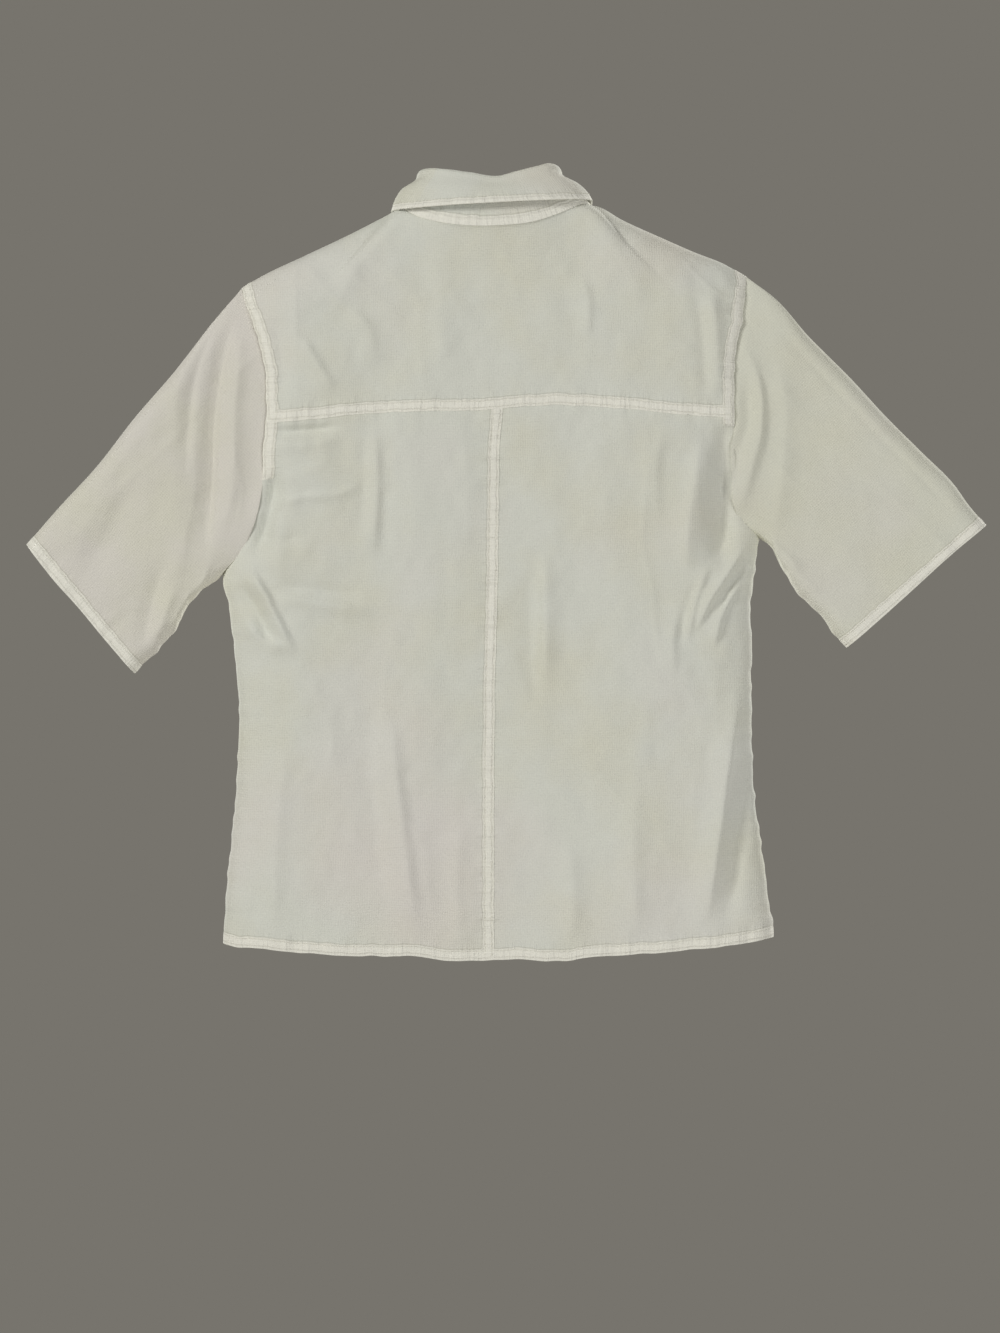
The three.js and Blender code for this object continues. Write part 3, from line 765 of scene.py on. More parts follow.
# %% The two sleeves
TOP_L = [
    SHOULDER_L,
    (-254.3, -105.1),
    (-290.5, -151.6),
    (-324.1, -190.4),
    (-360.3, -236.8),
    (-393.8, -273),
    (-422.3, -306),
]
LOW_L = [
    ARMPIT_L,
    (-264.7, -347.9),
    (-277.6, -363.4),
    (-285.3, -376.2),
    (-297, -393),
    (-308.7, -405),
    (-325.4, -421.6),
]
CUFF_L = [(-422.3, -306), (-399, -336), (-374, -364), (-350, -393), (-325.4, -421.6)]
TOP_R = [
    SHOULDER_R,
    (251.7, -83.2),
    (282.8, -118),
    (321.5, -156.8),
    (352.5, -190.4),
    (383.5, -221.3),
    (414.5, -252.4),
    (427.4, -270.5),
    (442.9, -288.5),
]
LOW_R = [
    ARMPIT_R,
    (251.7, -311.8),
    (262.1, -332.4),
    (277.6, -353.1),
    (295.7, -371.2),
    (308.6, -389.3),
    (317.6, -398.3),
]
CUFF_R = [(442.9, -288.5), (412, -314), (380, -343), (348, -372), (317.6, -398.3)]
SLEEVE_DEEP = 12.5
SLEEVE_FOLDS = {
    -1: [
        ([(-235, -94), (-252, -180), (-256, -258), (-262, -322)], 8, -8.6, 0.45),
        ([(-226, -104), (-234, -180), (-236, -250), (-248, -312)], 8, 4.6, 0.0),
        ([(-240, -88), (-266, -140), (-276, -200), (-280, -262)], 6, -3.0, 0.3),
        ([(-250, -86), (-280, -140), (-290, -220)], 9, 1.8, 0.0),
        ([(-276, -270), (-284, -322), (-296, -372)], 10, 2.2, 0.2),
        ([(-296, -318), (-308, -356), (-318, -404)], 7, -2.8, 0.2),
        ([(-288, -344), (-298, -372), (-306, -396)], 6, 3.0, 0.0),
        ([(-340, -250), (-372, -290), (-396, -318)], 12, 1.5, 0.0),
        ([(-318, -240), (-352, -300), (-372, -340)], 14, -1.6, 0.0),
    ],
    1: [
        ([(249, -104), (293, -152), (345, -208), (397, -260), (425, -292)], 4, -1.5, 0.0),
        ([(222, -122), (237, -158), (238, -220), (226, -284)], 6, 4.4, 0.4),
        ([(228, -150), (228, -210), (222, -262)], 6, -3.0, 0.0),
        ([(250, -116), (262, -190), (256, -268), (252, -306)], 10, 2.6, -0.2),
        ([(262, -244), (300, -252), (356, -272)], 10, 1.8, 0.3),
        ([(300, -150), (350, -210), (404, -262)], 13, 1.6, 0.0),
        ([(246, -298), (262, -316), (280, -330)], 5, 1.8, 0.0),
        ([(258, -312), (276, -336), (296, -352)], 5, 1.6, 0.0),
        ([(300, -290), (326, -328), (342, -366)], 13, 1.4, 0.0),
    ],
}


def sleeve_at(side):
    """A point of the sleeve: round from the seam under the arm, over the top and back, and along."""
    top, low, cuff, armhole = (TOP_L, LOW_L, CUFF_L, ARMHOLE_L) if side < 0 else (
        TOP_R, LOW_R, CUFF_R, ARMHOLE_R,
    )

    def at(turn, t):
        turn, t = np.broadcast_arrays(turn, t)
        back = turn < 0.5
        v = np.where(back, 1 - 2 * turn, 2 * turn - 1)
        v = 0.5 - 0.5 * np.cos(np.pi * v)
        v = mix(v, np.where(back, 1 - 2 * turn, 2 * turn - 1), 0.35)
        a, b, c, d = through(top, t), through(low, t), through(armhole, v), through(cuff, v)
        v_, t_ = v[..., None], t[..., None]
        corners = mix(
            mix(np.array(top[0]), np.array(low[0]), v_),
            mix(np.array(top[-1]), np.array(low[-1]), v_),
            t_,
        )
        # The seam under the arm draws up, so its edge is never smooth.
        drawn_up = 1.5 * waves(t * 240, 7 + 0 * t, 17, 9, 87 + side) * smooth(t / 0.1) * smooth(
            (1 - t) / 0.1
        )
        b = b + drawn_up[..., None] * np.array([side * 0.75, 0.66])
        flat = mix(a, b, v_) + mix(c, d, t_) - corners
        x, z = flat[..., 0], flat[..., 1]
        wide = np.linalg.norm(b - a, axis=-1)
        edge = np.minimum(v, 1 - v) * wide
        at_armhole = armhole_deep(z, side)
        deep = mix(at_armhole, SLEEVE_DEEP * soft_edge(edge, 17), smooth(t / 0.3))
        lap = 4.5 * smooth((v - 0.62) / 0.2) * smooth(edge / 5) * (
            1 - smooth(t / 0.35)
        ) * smooth(t / 0.012)
        folds = sum(fold(x, z, *f) for f in SLEEVE_FOLDS[side]) * np.where(back, 1, 0.5)
        rough = uneven((x + side * z) * 0.7, (z - side * x) * 0.7, 61 if side < 0 else 71, 0.9)
        cuff_mm = (1 - t) * np.linalg.norm(
            a - through(top, np.ones_like(t)), axis=-1,
        ) / np.maximum(1 - t, 1e-6)
        rough = rough + seam_pucker(cuff_mm, v * wide, 81, 0.9, 14, 11) + seam_pucker(
            t * 220, z, 83, 0.7,
        )
        rough = rough + seam_pucker(edge, t * 200, 85, 0.6, 14, 12) * (v > 0.5)
        out = deep + EDGE_GAP + (folds + rough) * mix(0.1, 1, soft_edge(edge, 22)) * mix(
            0.15, 1, smooth(t / 0.05),
        )
        # Low down the sleeve rolls over the armhole seam, towards the body.
        low_down = smooth((v - 0.5) / 0.14) * (1 - smooth((v - 0.9) / 0.1)) * np.where(
            back, 1, 0.4,
        )
        roll = (5.0 if side < 0 else 8.0) * low_down * smooth(t / 0.03) * (
            1 - smooth((t - 0.03) / 0.2)
        )
        out = out + lap - 0.7 * (1 - smooth(t / 0.03)) * smooth(edge / 8)
        return np.stack([x - side * roll, np.where(back, -1, 1) * out, z], -1)

    return at


for name, side, fabric in (
    ("sleeve_left_cloth", -1, crepe_l), ("sleeve_right_cloth", 1, crepe_r),
):
    turn, t = grid(228, 116)
    p = sleeve_at(side)(turn, t)
    out = np.zeros_like(p)
    out[..., 1] = np.where(turn < 0.5, -1, 1)
    cuff = CUFF_L if side < 0 else CUFF_R
    across = np.array(cuff[-1]) - np.array(cuff[0])
    square = np.array([-across[1], across[0]]) / np.linalg.norm(across)
    from_cuff = np.abs((p[..., [0, 2]] - np.array(cuff[0])) @ square)
    layer = np.where(turn < 0.5, 0, 700)
    cloth_piece(
        name,
        p,
        out,
        (p[..., 0] + layer, p[..., 2]),
        from_cuff,
        fabric,
        along=turn * 480,
        alone=0.4,
    )
print(
    "sleeves: cuffs %.0f and %.0f mm wide" % tuple(
        math.dist(c[0], c[-1]) for c in (CUFF_L, CUFF_R)
    )
)

# %% [markdown]
# ## Fronts and bands
# The front is not seen from behind the shirt, so it is made as such a shirt usually is: two
# fronts, with buttonholes on the wearer's right over buttons on the left. Each front is made as
# three meshes that meet edge to edge; the upper part is then joined to the outer side part, and
# the lower inner part, the flap, stays a mesh of its own.

# %% Front panels and bands
BAND_HALF = 14.0
UNDER = 2.3  # the button side lies this much further in
TUCK, TUCK_DROP = 2.4, 0.9  # width and depth of the strip under each flap


def front_part(side, step, part, columns, rows):
    """upper: above the fold; side: outside the fold line; flap: inside it."""
    a, b = grid(columns, rows)
    far = edge_l if side < 0 else edge_r
    if part != "flap":
        a = 1 - (1 - a) ** 1.25
    if part == "upper":
        x0 = side * mix(BAND_HALF, 227, a)
        reach = back_top(x0) - YOKE_FRONT
        top = mix(
            front_top(x0),
            reach,
            smooth((np.abs(x0) - 3 - (NECK_R if side > 0 else -NECK_L)) / 2.5),
        )
        z = mix(top, FLAP_TOP, b)
        x = mix(side * BAND_HALF, far(z), a)
    else:
        z = mix(FLAP_TOP, -676, b)
        crease = side * fold_line(z, side)
        x = mix(side * BAND_HALF, crease, a) if part == "flap" else mix(crease, far(z), a)
        z = mix(FLAP_TOP, hem_z(x), b)
        crease = side * fold_line(z, side)
        x = mix(side * BAND_HALF, crease, a) if part == "flap" else mix(crease, far(z), a)
    if part == "side":
        # A narrow strip lies under the flap, so that no slit opens there when the flap folds back.
        x = np.concatenate([x[:, :1] - side * TUCK, x], axis=1)
        z = np.concatenate([z[:, :1], z], axis=1)
    y = front_y(x, z, step * (1 - smooth((np.abs(x) - 60) / 100)))
    if part == "side":
        y[:, 0] -= TUCK_DROP
    return np.stack([x, y, z], -1)


for word, side, step in (("left", -1, UNDER), ("right", 1, 0.0)):
    halves = []
    for part, columns, rows in (("upper", 90, 50), ("side", 70, 200), ("flap", 54, 200)):
        p = front_part(side, step, part, columns, rows)
        x, z = p[..., 0], p[..., 2]
        folds, along, alone = seam_place(x, z, (z - hem_z(x), x), (from_edges(x, z), z))
        piece = cloth_piece(
            f"front_{word}_{part}_cloth",
            p,
            (0, 1, 0),
            (x + 0.4, z),
            folds,
            crepe,
            along=along,
            alone=alone,
        )
        if part != "flap":
            halves.append(piece)
    with bpy.context.temp_override(active_object=halves[1], selected_editable_objects=halves):
        bpy.ops.object.join()
    del made[f"front_{word}_upper_cloth"]

BAND_LIFT = 0.55
for word, step in (("button", UNDER), ("buttonhole", 0.0)):
    for part, high, low, rows in (("_top", None, FLAP_TOP, 26), ("", FLAP_TOP, None, 178)):
        a, b = grid(14, rows)
        x = mix(-BAND_HALF, BAND_HALF, a)
        z = mix(front_top(x) if high is None else high, hem_z(x) if low is None else low, b)
        ripple = 0.25 * waves(z, x, 11, 16, 91) * (1 - (x / BAND_HALF) ** 2)
        p = np.stack([x, front_y(x, z, step) + BAND_LIFT + ripple, z], -1)
        cloth_piece(
            f"{word}_band{part}_cloth",
            p,
            (0, 1, 0),
            (x, z),
            np.full_like(x, 99.0),
            doubled_cotton,
            thick=1.1,
            ply=0,
            along=z,
        )
print("front pieces:", sum(name.startswith("front") for name in made))

# %% [markdown]
# ## The collar
# The stand is a band sewn to the neck. The collar itself rises from it, rolls over the top
# and falls outside, and covers all but the lowest finger's width of the stand at the back.


# %% Stand and collar
def ring(half, deep, turn, middle):
    """Round the neck: turn 0 is the front, a quarter the wearer's right, a half the back."""
    s, c = np.sin(2 * np.pi * turn), np.cos(2 * np.pi * turn)
    power = 2 / 2.6
    return middle + half * np.sign(s) * np.abs(s) ** power, deep * np.sign(c) * np.abs(c) ** power


def forward(turn):
    return np.clip(np.cos(2 * np.pi * turn), 0, 1) ** 1.2


def stand_base(turn):
    x, y = ring(87.5, 29, turn, -2)
    z = np.where(np.cos(2 * np.pi * turn) > 0, front_top(x), back_top(x))
    return x, y, z + 0.4


ROLL_LINE = [
    (-72, 27.5), (-67, 30.5), (-60, 31.4), (-46.6, 30.4), (-22.5, 27), (4.5, 24), (13.5, 26.5),
    (22.5, 29), (37.5, 33), (49, 36), (56, 34.5), (61, 30.5), (64, 27),
]
roll_back = height_along(ROLL_LINE)


def roll_z(x, turn):
    """Height of the top of the collar: it dips at the back and falls away to the front."""
    return mix(roll_back(x), -33.0, forward(turn))


def stand_at(s, t):
    turn = mix(-0.014, 0.986, s)
    x0, y0, z0 = stand_base(turn)
    x1, y1 = ring(61, 22, turn, -5 * (1 - forward(turn)))
    z1 = roll_z(x1, turn) - 3
    lap = 1.7 * smooth((0.028 - turn) / 0.02)
    bulge = np.sin(np.pi * t) * 1.2
    z = mix(z0, z1, t)
    rough = 0.35 * waves(s * 520, z, 16, 12, 95)
    x, y = mix(x0, x1, t), mix(y0, y1, t)
    size = np.hypot(x / 80, y / 26) + 1e-6
    return np.stack(
        [x + (bulge + rough) * x / 80 / size, y + (bulge + rough) * y / 26 / size + lap, z], -1,
    )


s, t = grid(190, 12)
p = stand_at(s, t)
out = p * np.array([1, 3, 0])
round_mm = np.cumsum(np.linalg.norm(np.diff(p, axis=1, prepend=p[:, :1]), axis=-1), axis=1)[6:7]
cloth_piece(
    "collar_stand_cloth",
    p,
    out,
    (round_mm + 0 * s, p[..., 2]),
    3 + t * 34,
    crepe,
    thick=1.5,
    ply=0,
    along=round_mm + 0 * s,
)

# The section of the collar: steps outwards and up from the top of the stand.
ROLL = [(-2.2, -9), (-1.9, -3.6), (-0.6, -0.9), (1.4, 0.0), (3.3, -1.2), (4.6, -5.0)]


def collar_edge(turn):
    x, y = ring(90.5, 36.2, turn, -3)
    f = forward(turn)
    side = np.where(np.sin(2 * np.pi * turn) >= 0, 1.0, -1.0)
    z = mix(-0.6 + 0.055 * x, -91 + 1.1 * side, f)
    return mix(x, side * 50.0, f**2), mix(y, 37.0, f), z


def collar_at(turns, shares):
    """A grid of points of the collar, turns down and shares across from roll to edge."""
    rows = []
    for turn in turns:
        points = []
        for step, rise in ROLL:
            x, y = ring(61 + step, 22 + step, turn, -5 * (1 - forward(turn)))
            points.append((x, y, roll_z(x, turn) + rise))
        ex, ey, ez = collar_edge(turn)
        start = np.array(points[-1])
        at_side = abs(math.sin(2 * math.pi * turn)) ** 6
        for u, bow in ((0.35, 1.4 + 4.5 * at_side), (0.7, 1.3 + 3 * at_side), (1.0, 0.0)):
            q = mix(start, np.array([ex, ey, ez]), u)
            size = math.hypot(q[0] / 80, q[1] / 30)
            points.append(q + np.array([q[0] / 80, q[1] / 30, 0]) / size * bow)
        rows.append(through([np.array(q, float) for q in points], shares))
    p = np.array(rows)
    turn = np.array(turns)[:, None] + 0 * shares
    rough = 0.8 * waves(turn * 560, p[..., 2], 42, 60, 97) + 0.35 * waves(
        turn * 560, p[..., 2], 13, 14, 98,
    )
    rough = rough * smooth((shares - 0.2) / 0.3)
    size = np.hypot(p[..., 0] / 80, p[..., 1] / 30)
    p[..., 0] += p[..., 0] / 80 / size * rough
    p[..., 1] += p[..., 1] / 30 / size * rough
    return p


def run_length(p, axis):
    """Length in mm along one direction of a grid of points."""
    first = p[:1] if axis == 0 else p[:, :1]
    return np.cumsum(np.linalg.norm(np.diff(p, axis=axis, prepend=first), axis=-1), axis=axis)


BACK_FROM, BACK_TO = 0.3195, 0.6207
shares = np.r_[np.linspace(0, 0.3, 13), np.linspace(0.3, 1, 20)[1:]]
collar_grids = {}
for word, start, end, columns in (
    ("right", 0.016, BACK_FROM, 84),
    ("back", BACK_FROM, BACK_TO, 64),
    ("left", BACK_TO, 0.984, 84),
):
    turns = np.linspace(start, end, columns + 1)
    p = collar_at(turns, shares)
    out = p * np.array([1, 3, 0])
    out[:, shares < 0.1] *= -1
    out = np.where(shares[None, :, None] > 0.3, out, 0)
    collar_grids[word] = p
    round_mm, down_mm = run_length(p, 0)[:, 18:19] + start * 500, run_length(p, 1)
    from_edge = down_mm[:, -1:] - down_mm
    cloth_piece(
        f"collar_{word}_cloth",
        p,
        out,
        (round_mm + 0 * down_mm, -down_mm),
        from_edge + 4.5,
        crepe,
        thick=1.5,
        ply=0,
        along=round_mm + 0 * down_mm,
    )
print("collar: three lengths, %d points" % sum(g.size // 3 for g in collar_grids.values()))

# %% [markdown]
# ## Buttons
# One button is turned like a real one, a disc with a raised rim and a dished middle, and its
# four holes are cut through. It is then copied to each place, with its own crossed thread.

# %% Buttons and their threads
BUTTON_Z = [-118, -206, -294, -382, -470, -558]
PROFILE = [
    (0, 0),
    (4.6, 0),
    (5.5, 0.5),
    (5.7, 1.2),
    (5.5, 2.0),
    (4.9, 2.45),
    (4.1, 2.3),
    (3.5, 1.75),
    (0, 1.6),
]


def lathe(profile, sides):
    """A closed solid turned round the Z axis, in mm."""
    angle = np.linspace(0, 2 * np.pi, sides, endpoint=False)
    rings = [(r * np.cos(angle), r * np.sin(angle), np.full(sides, z)) for r, z in profile[1:-1]]
    vertices = [(0, 0, profile[0][1])] + [v for g in rings for v in zip(*g)] + [
        (0, 0, profile[-1][1])
    ]
    last = len(vertices) - 1
    faces = [(0, 1 + (k + 1) % sides, 1 + k) for k in range(sides)]
    for j in range(len(rings) - 1):
        for k in range(sides):
            a, b = 1 + j * sides + k, 1 + j * sides + (k + 1) % sides
            faces.append((a, b, b + sides, a + sides))
    base = 1 + (len(rings) - 1) * sides
    faces += [(last, base + k, base + (k + 1) % sides) for k in range(sides)]
    mesh = bpy.data.meshes.new("turned")
    mesh.from_pydata([tuple(c / 1000 for c in v) for v in vertices], [], faces)
    return mesh


def hole_cutter():
    angle = np.linspace(0, 2 * np.pi, 12, endpoint=False)
    vertices, faces = [], []
    for cx, cy in ((1.15, 1.15), (-1.15, 1.15), (-1.15, -1.15), (1.15, -1.15)):
        n = len(vertices)
        for z in (-1, 4):
            vertices += [
                (
                    (cx + 0.62 * math.cos(t)) / 1000, (cy + 0.62 * math.sin(t)) / 1000, z / 1000,
                ) for t in angle
            ]
        faces += [tuple(n + 11 - k for k in range(12)), tuple(n + 12 + k for k in range(12))]
        faces += [(n + k, n + (k + 1) % 12, n + 12 + (k + 1) % 12, n + 12 + k) for k in range(12)]
    mesh = bpy.data.meshes.new("holes")
    mesh.from_pydata(vertices, [], faces)
    return bpy.data.objects.new("holes", mesh)


def final_mesh(maker, name):
    """The mesh of an object with its modifiers applied."""
    found = bpy.context.evaluated_depsgraph_get()
    mesh = bpy.data.meshes.new_from_object(maker.evaluated_get(found))
    mesh.name = name
    return mesh


blank = bpy.data.objects.new("button_blank", lathe(PROFILE, 48))
cutter = hole_cutter()
for o in (blank, cutter):
    bpy.context.collection.objects.link(o)
cut = blank.modifiers.new("holes", "BOOLEAN")
cut.object, cut.operation, cut.solver = cutter, "DIFFERENCE", "EXACT"
button_mesh = final_mesh(blank, "button")
for o in (blank, cutter):
    bpy.data.objects.remove(o)


def bar(p, q, r, sides=8):
    """A round bar between two points, with domed ends, in mm."""
    p, q = np.array(p, float), np.array(q, float)
    d = (q - p) / np.linalg.norm(q - p)
    u = np.cross(d, (0.3, 0.1, 0.95))
    u /= np.linalg.norm(u)
    v = np.cross(d, u)
    vertices, faces = [], []
    for centre, size in ((p - d * r * 0.7, 0.35), (p, 1), (q, 1), (q + d * r * 0.7, 0.35)):
        for k in range(sides):
            a = 2 * math.pi * k / sides
            vertices.append(centre + r * size * (u * math.cos(a) + v * math.sin(a)))
    for j in range(3):
        for k in range(sides):
            a, b = j * sides + k, j * sides + (k + 1) % sides
            faces.append((a, b, b + sides, a + sides))
    faces += [tuple(range(sides))[::-1], tuple(range(3 * sides, 4 * sides))]
    return vertices, faces


def placed(name, mesh_parts, material):
    """Several lists of vertices in mm and faces, as one smooth mesh."""
    vertices, faces = [], []
    for vs, fs in mesh_parts:
        n = len(vertices)
        vertices += [tuple(float(c) / 1000 for c in v) for v in vs]
        faces += [tuple(n + k for k in f) for f in fs]
    mesh = bpy.data.meshes.new(name)
    mesh.from_pydata(vertices, [], faces)
    mesh.polygons.foreach_set("use_smooth", np.ones(len(mesh.polygons), bool))
    mesh.set_sharp_from_angle(angle=math.radians(50))
    mesh.materials.append(material)
    piece = bpy.data.objects.new(name, mesh)
    bpy.context.collection.objects.link(piece)
    made[name] = piece
    return piece


def band_face(z):
    return float(front_y(np.array(0.0), np.array(float(z)))) + BAND_LIFT + 0.6


stand_mid = stand_at(np.array(0.014), np.array(0.5))
seats = [(float(stand_mid[1]) + 2.6, float(stand_mid[2]) + 0.5)] + [
    (band_face(z) + 0.75, z) for z in BUTTON_Z
]
for n, (y, z) in enumerate(seats, 1):
    turn = np.random.default_rng(n).uniform(-0.5, 0.5)
    c, s_ = math.cos(turn), math.sin(turn)
    vs = np.zeros(len(button_mesh.vertices) * 3)
    button_mesh.vertices.foreach_get("co", vs)
    vs = vs.reshape(-1, 3) * 1000
    # The button's own axis turns from Z to Y, out of the chest.
    vs = np.stack(
        [vs[:, 0] * c - vs[:, 1] * s_, y + vs[:, 2], z - vs[:, 0] * s_ - vs[:, 1] * c], -1,
    )
    faces = [tuple(f.vertices) for f in button_mesh.polygons]
    placed(f"button_{n}_turned", [(vs, faces)], pearl)
    hole = lambda sx, sy: (1.15 * (sx * c - sy * s_), z - 1.15 * (sx * s_ + sy * c))
    top, under = y + 1.85, y - 1.0
    parts = []
    for sx in (-1, 1):
        (x0, z0), (x1, z1) = hole(sx, -1), hole(sx, 1)
        parts.append(bar((x0, top, z0), (x1, top, z1), 0.42))
        for px, pz in ((x0, z0), (x1, z1)):
            parts.append(bar((px, under, pz), (px, top, pz), 0.3))
    placed(f"button_{n}_sewing", parts, thread)
print("buttons:", len(seats))

# %% [markdown]
# ## Stitches
# Every seam of a shirt is held by rows of small stitches. A row is a line on the cloth, and a
# node group lays one short rounded bar of thread at each step along it, each a little
# different, then makes them all real.


# %% Rows of stitches
def stitcher(spacing, length, radius, seed):
    """A node group that turns lines into rows of stitches."""
    group = bpy.data.node_groups.new("stitches", "GeometryNodeTree")
    face = group.interface
    face.new_socket("Lines", in_out="INPUT", socket_type="NodeSocketGeometry")
    for label, value in (
        ("Stitch spacing", spacing), ("Stitch length", length), ("Thread radius", radius),
    ):
        face.new_socket(
            label, in_out="INPUT", socket_type="NodeSocketFloat",
        ).default_value = value
    face.new_socket("Stitches", in_out="OUTPUT", socket_type="NodeSocketGeometry")
    given = group.nodes.new("NodeGroupInput").outputs
    curve = add_node(group, "GeometryNodeMeshToCurve", {}, i0=given["Lines"])
    spots = add_node(
        group,
        "GeometryNodeCurveToPoints",
        {"mode": "LENGTH"},
        Curve=curve.outputs[0],
        Length=given["Stitch spacing"],
    )
    body = add_node(group, "GeometryNodeMeshUVSphere", {}, Segments=6, Rings=5, Radius=1.0)
    half = add_node(
        group, "ShaderNodeMath", {"operation": "MULTIPLY"}, i0=given["Stitch length"], i1=0.5,
    ).outputs[0]
    size = add_node(
        group,
        "ShaderNodeCombineXYZ",
        {},
        i0=given["Thread radius"],
        i1=given["Thread radius"],
        i2=half,
    )
    shaped = add_node(
        group, "GeometryNodeTransform", {}, Geometry=body.outputs["Mesh"], Scale=size.outputs[0],
    )
    vary = add_node(
        group, "FunctionNodeRandomValue", {"data_type": "FLOAT"}, i2=0.82, i3=1.12, Seed=seed,
    ).outputs[1]
    laid = add_node(
        group,
        "GeometryNodeInstanceOnPoints",
        {},
        Points=spots.outputs["Points"],
        Instance=shaped.outputs[0],
        Rotation=spots.outputs["Rotation"],
        Scale=vary,
    )
    real = add_node(group, "GeometryNodeRealizeInstances", {}, i0=laid.outputs[0])
    coloured = add_node(
        group, "GeometryNodeSetMaterial", {}, Geometry=real.outputs[0], Material=thread,
    )
    leave = group.nodes.new("NodeGroupOutput")
    group.links.new(coloured.outputs[0], leave.inputs[0])
    return group


seam_stitches = stitcher(0.0031, 0.0024, 0.00026, 5)
buttonhole_stitches = stitcher(0.0008, 0.0010, 0.00045, 6)


def stitched(name, rows, group):
    """Rows of stitches along lines of points in mm, as one plain mesh."""
    vertices, edges = [], []
    for row_points in rows:
        n = len(vertices)
        vertices += (np.asarray(row_points) / 1000).tolist()
        edges += [(n + k, n + k + 1) for k in range(len(row_points) - 1)]
    lines = bpy.data.meshes.new(name + "_lines")
    lines.from_pydata(vertices, edges, [])
    maker = bpy.data.objects.new(name + "_maker", lines)
    bpy.context.collection.objects.link(maker)
    maker.modifiers.new("stitches", "NODES").node_group = group
    mesh = final_mesh(maker, name)
    bpy.data.objects.remove(maker)
    if not mesh.materials:
        mesh.materials.append(thread)
    piece = bpy.data.objects.new(name, mesh)
    bpy.context.collection.objects.link(piece)
    made[name] = piece
    return piece


LIFT = 0.82  # from the middle of the cloth to the stitches on its doubled face


def on_back(x, z, lift=LIFT):
    return np.stack([x, back_y(x, z) - lift, z], -1)


def on_front(x, z, side, lift=LIFT):
    step = UNDER if side < 0 else 0.0
    y = front_y(x, z, step * (1 - smooth((np.abs(x) - 60) / 100)))
    return np.stack([x, y + lift, z], -1)


STITCH_ROWS = (2.0, 8.3)  # from the folded edge of a felled seam, mm
run = np.linspace(0, 1, 260)
body_rows = []
for rise in STITCH_ROWS:
    x = mix(-203 + rise * 0.1, 211, run)
    body_rows.append(on_back(x, yoke_z(x) + rise))
    z = mix(-190, -674, run)
    body_rows.append(on_back(centre_x(z) + (rise - 5.1), z))
x = mix(-242, 247, run)
body_rows.append(on_back(x, hem_z(x) + 8.6))
for inwards in (2.0, 8.6):
    for edge, sign, top, covered, low in (
        (edge_l, 1, -84, COVERED_L, -318), (edge_r, -1, -76, COVERED_R, -288),
    ):
        z = mix(top, covered, run)
        body_rows.append(on_back(edge(z) + sign * inwards, z))
        z = mix(top, low, run)
        body_rows.append(on_front(edge(z) + sign * inwards, z, -sign))
    for side in (-1, 1):
        x = side * mix(92, 218, run)
        row_points = on_front(x, back_top(x) - YOKE_FRONT + inwards, side)
        body_rows.append(row_points)
for side, edge in ((-1, edge_l), (1, edge_r)):
    x = mix(side * (fold_line(-668, side) + 1), edge(-664) * 0.985, run)
    body_rows.append(on_front(x, hem_z(x) + 8.6, side))
for t in (0.1, 0.62):
    s = np.linspace(0.004, 0.994, 400)
    p = stand_at(s, np.full_like(s, t))
    p[:, :2] *= 1 + 1.2 / np.hypot(p[:, 0], 2.4 * p[:, 1])[:, None]
    body_rows.append(p)
for x0 in (-12, 12):
    z = mix(float(front_top(np.array(x0))) - 1, FLAP_TOP, run[::3])
    body_rows.append(np.stack([x0 + 0 * z, front_y(x0 + 0 * z, z) + BAND_LIFT + 0.8, z], -1))
stitched("body_stitches", body_rows, seam_stitches)

for word, side, step in (("left", -1, UNDER), ("right", 1, 0.0)):
    rows = []
    for x0 in (-12, 12):
        z = mix(FLAP_TOP, -675, run)
        rows.append(np.stack([x0 + 0 * z, front_y(x0 + 0 * z, z, step) + BAND_LIFT + 0.8, z], -1))
    x = side * mix(15, fold_line(-668, side) - 1, run[::2])
    rows.append(on_front(x, hem_z(x) + 8.6, side))
    stitched(f"{word}_front_stitches", rows, seam_stitches)

    turn = np.linspace(0.004, 0.996, 420)
    cuff = CUFF_L if side < 0 else CUFF_R
    across = np.array(cuff[-1]) - np.array(cuff[0])
    square = np.array([-across[1], across[0]]) / np.linalg.norm(across)
    low, high = np.full_like(turn, 0.7), np.ones_like(turn)
    for _ in range(24):
        middle = (low + high) / 2
        p = sleeve_at(side)(turn, middle)
        beyond = np.abs((p[:, [0, 2]] - np.array(cuff[0])) @ square) < 8.7
        low, high = np.where(beyond, low, middle), np.where(beyond, middle, high)
    p[:, 1] += np.where(turn < 0.5, -1, 1) * LIFT * soft_edge(
        np.minimum(np.minimum(turn, 1 - turn), np.abs(turn - 0.5)), 0.03,
    )
    stitched(f"{word}_cuff_stitches", [p], seam_stitches)

for word, p in collar_grids.items():
    length = run_length(p, 1)
    away = np.cross(np.gradient(p, axis=0), np.gradient(p, axis=1))
    away /= np.linalg.norm(away, axis=-1, keepdims=True)
    away *= np.sign(np.sum(away[:, -4] * p[:, -4] * np.array([1, 3, 0])))
    lifted = p + away * 0.88
    line = np.array(
        [
            [
                np.interp(length[k, -1] - 6, length[k], lifted[k, :, c]) for c in range(3)
            ] for k in range(len(p))
        ]
    )
    line = line[7 if word == "right" else 0 : len(p) - 7 if word == "left" else len(p)]
    stitched(f"collar_{word}_stitches", [line], seam_stitches)

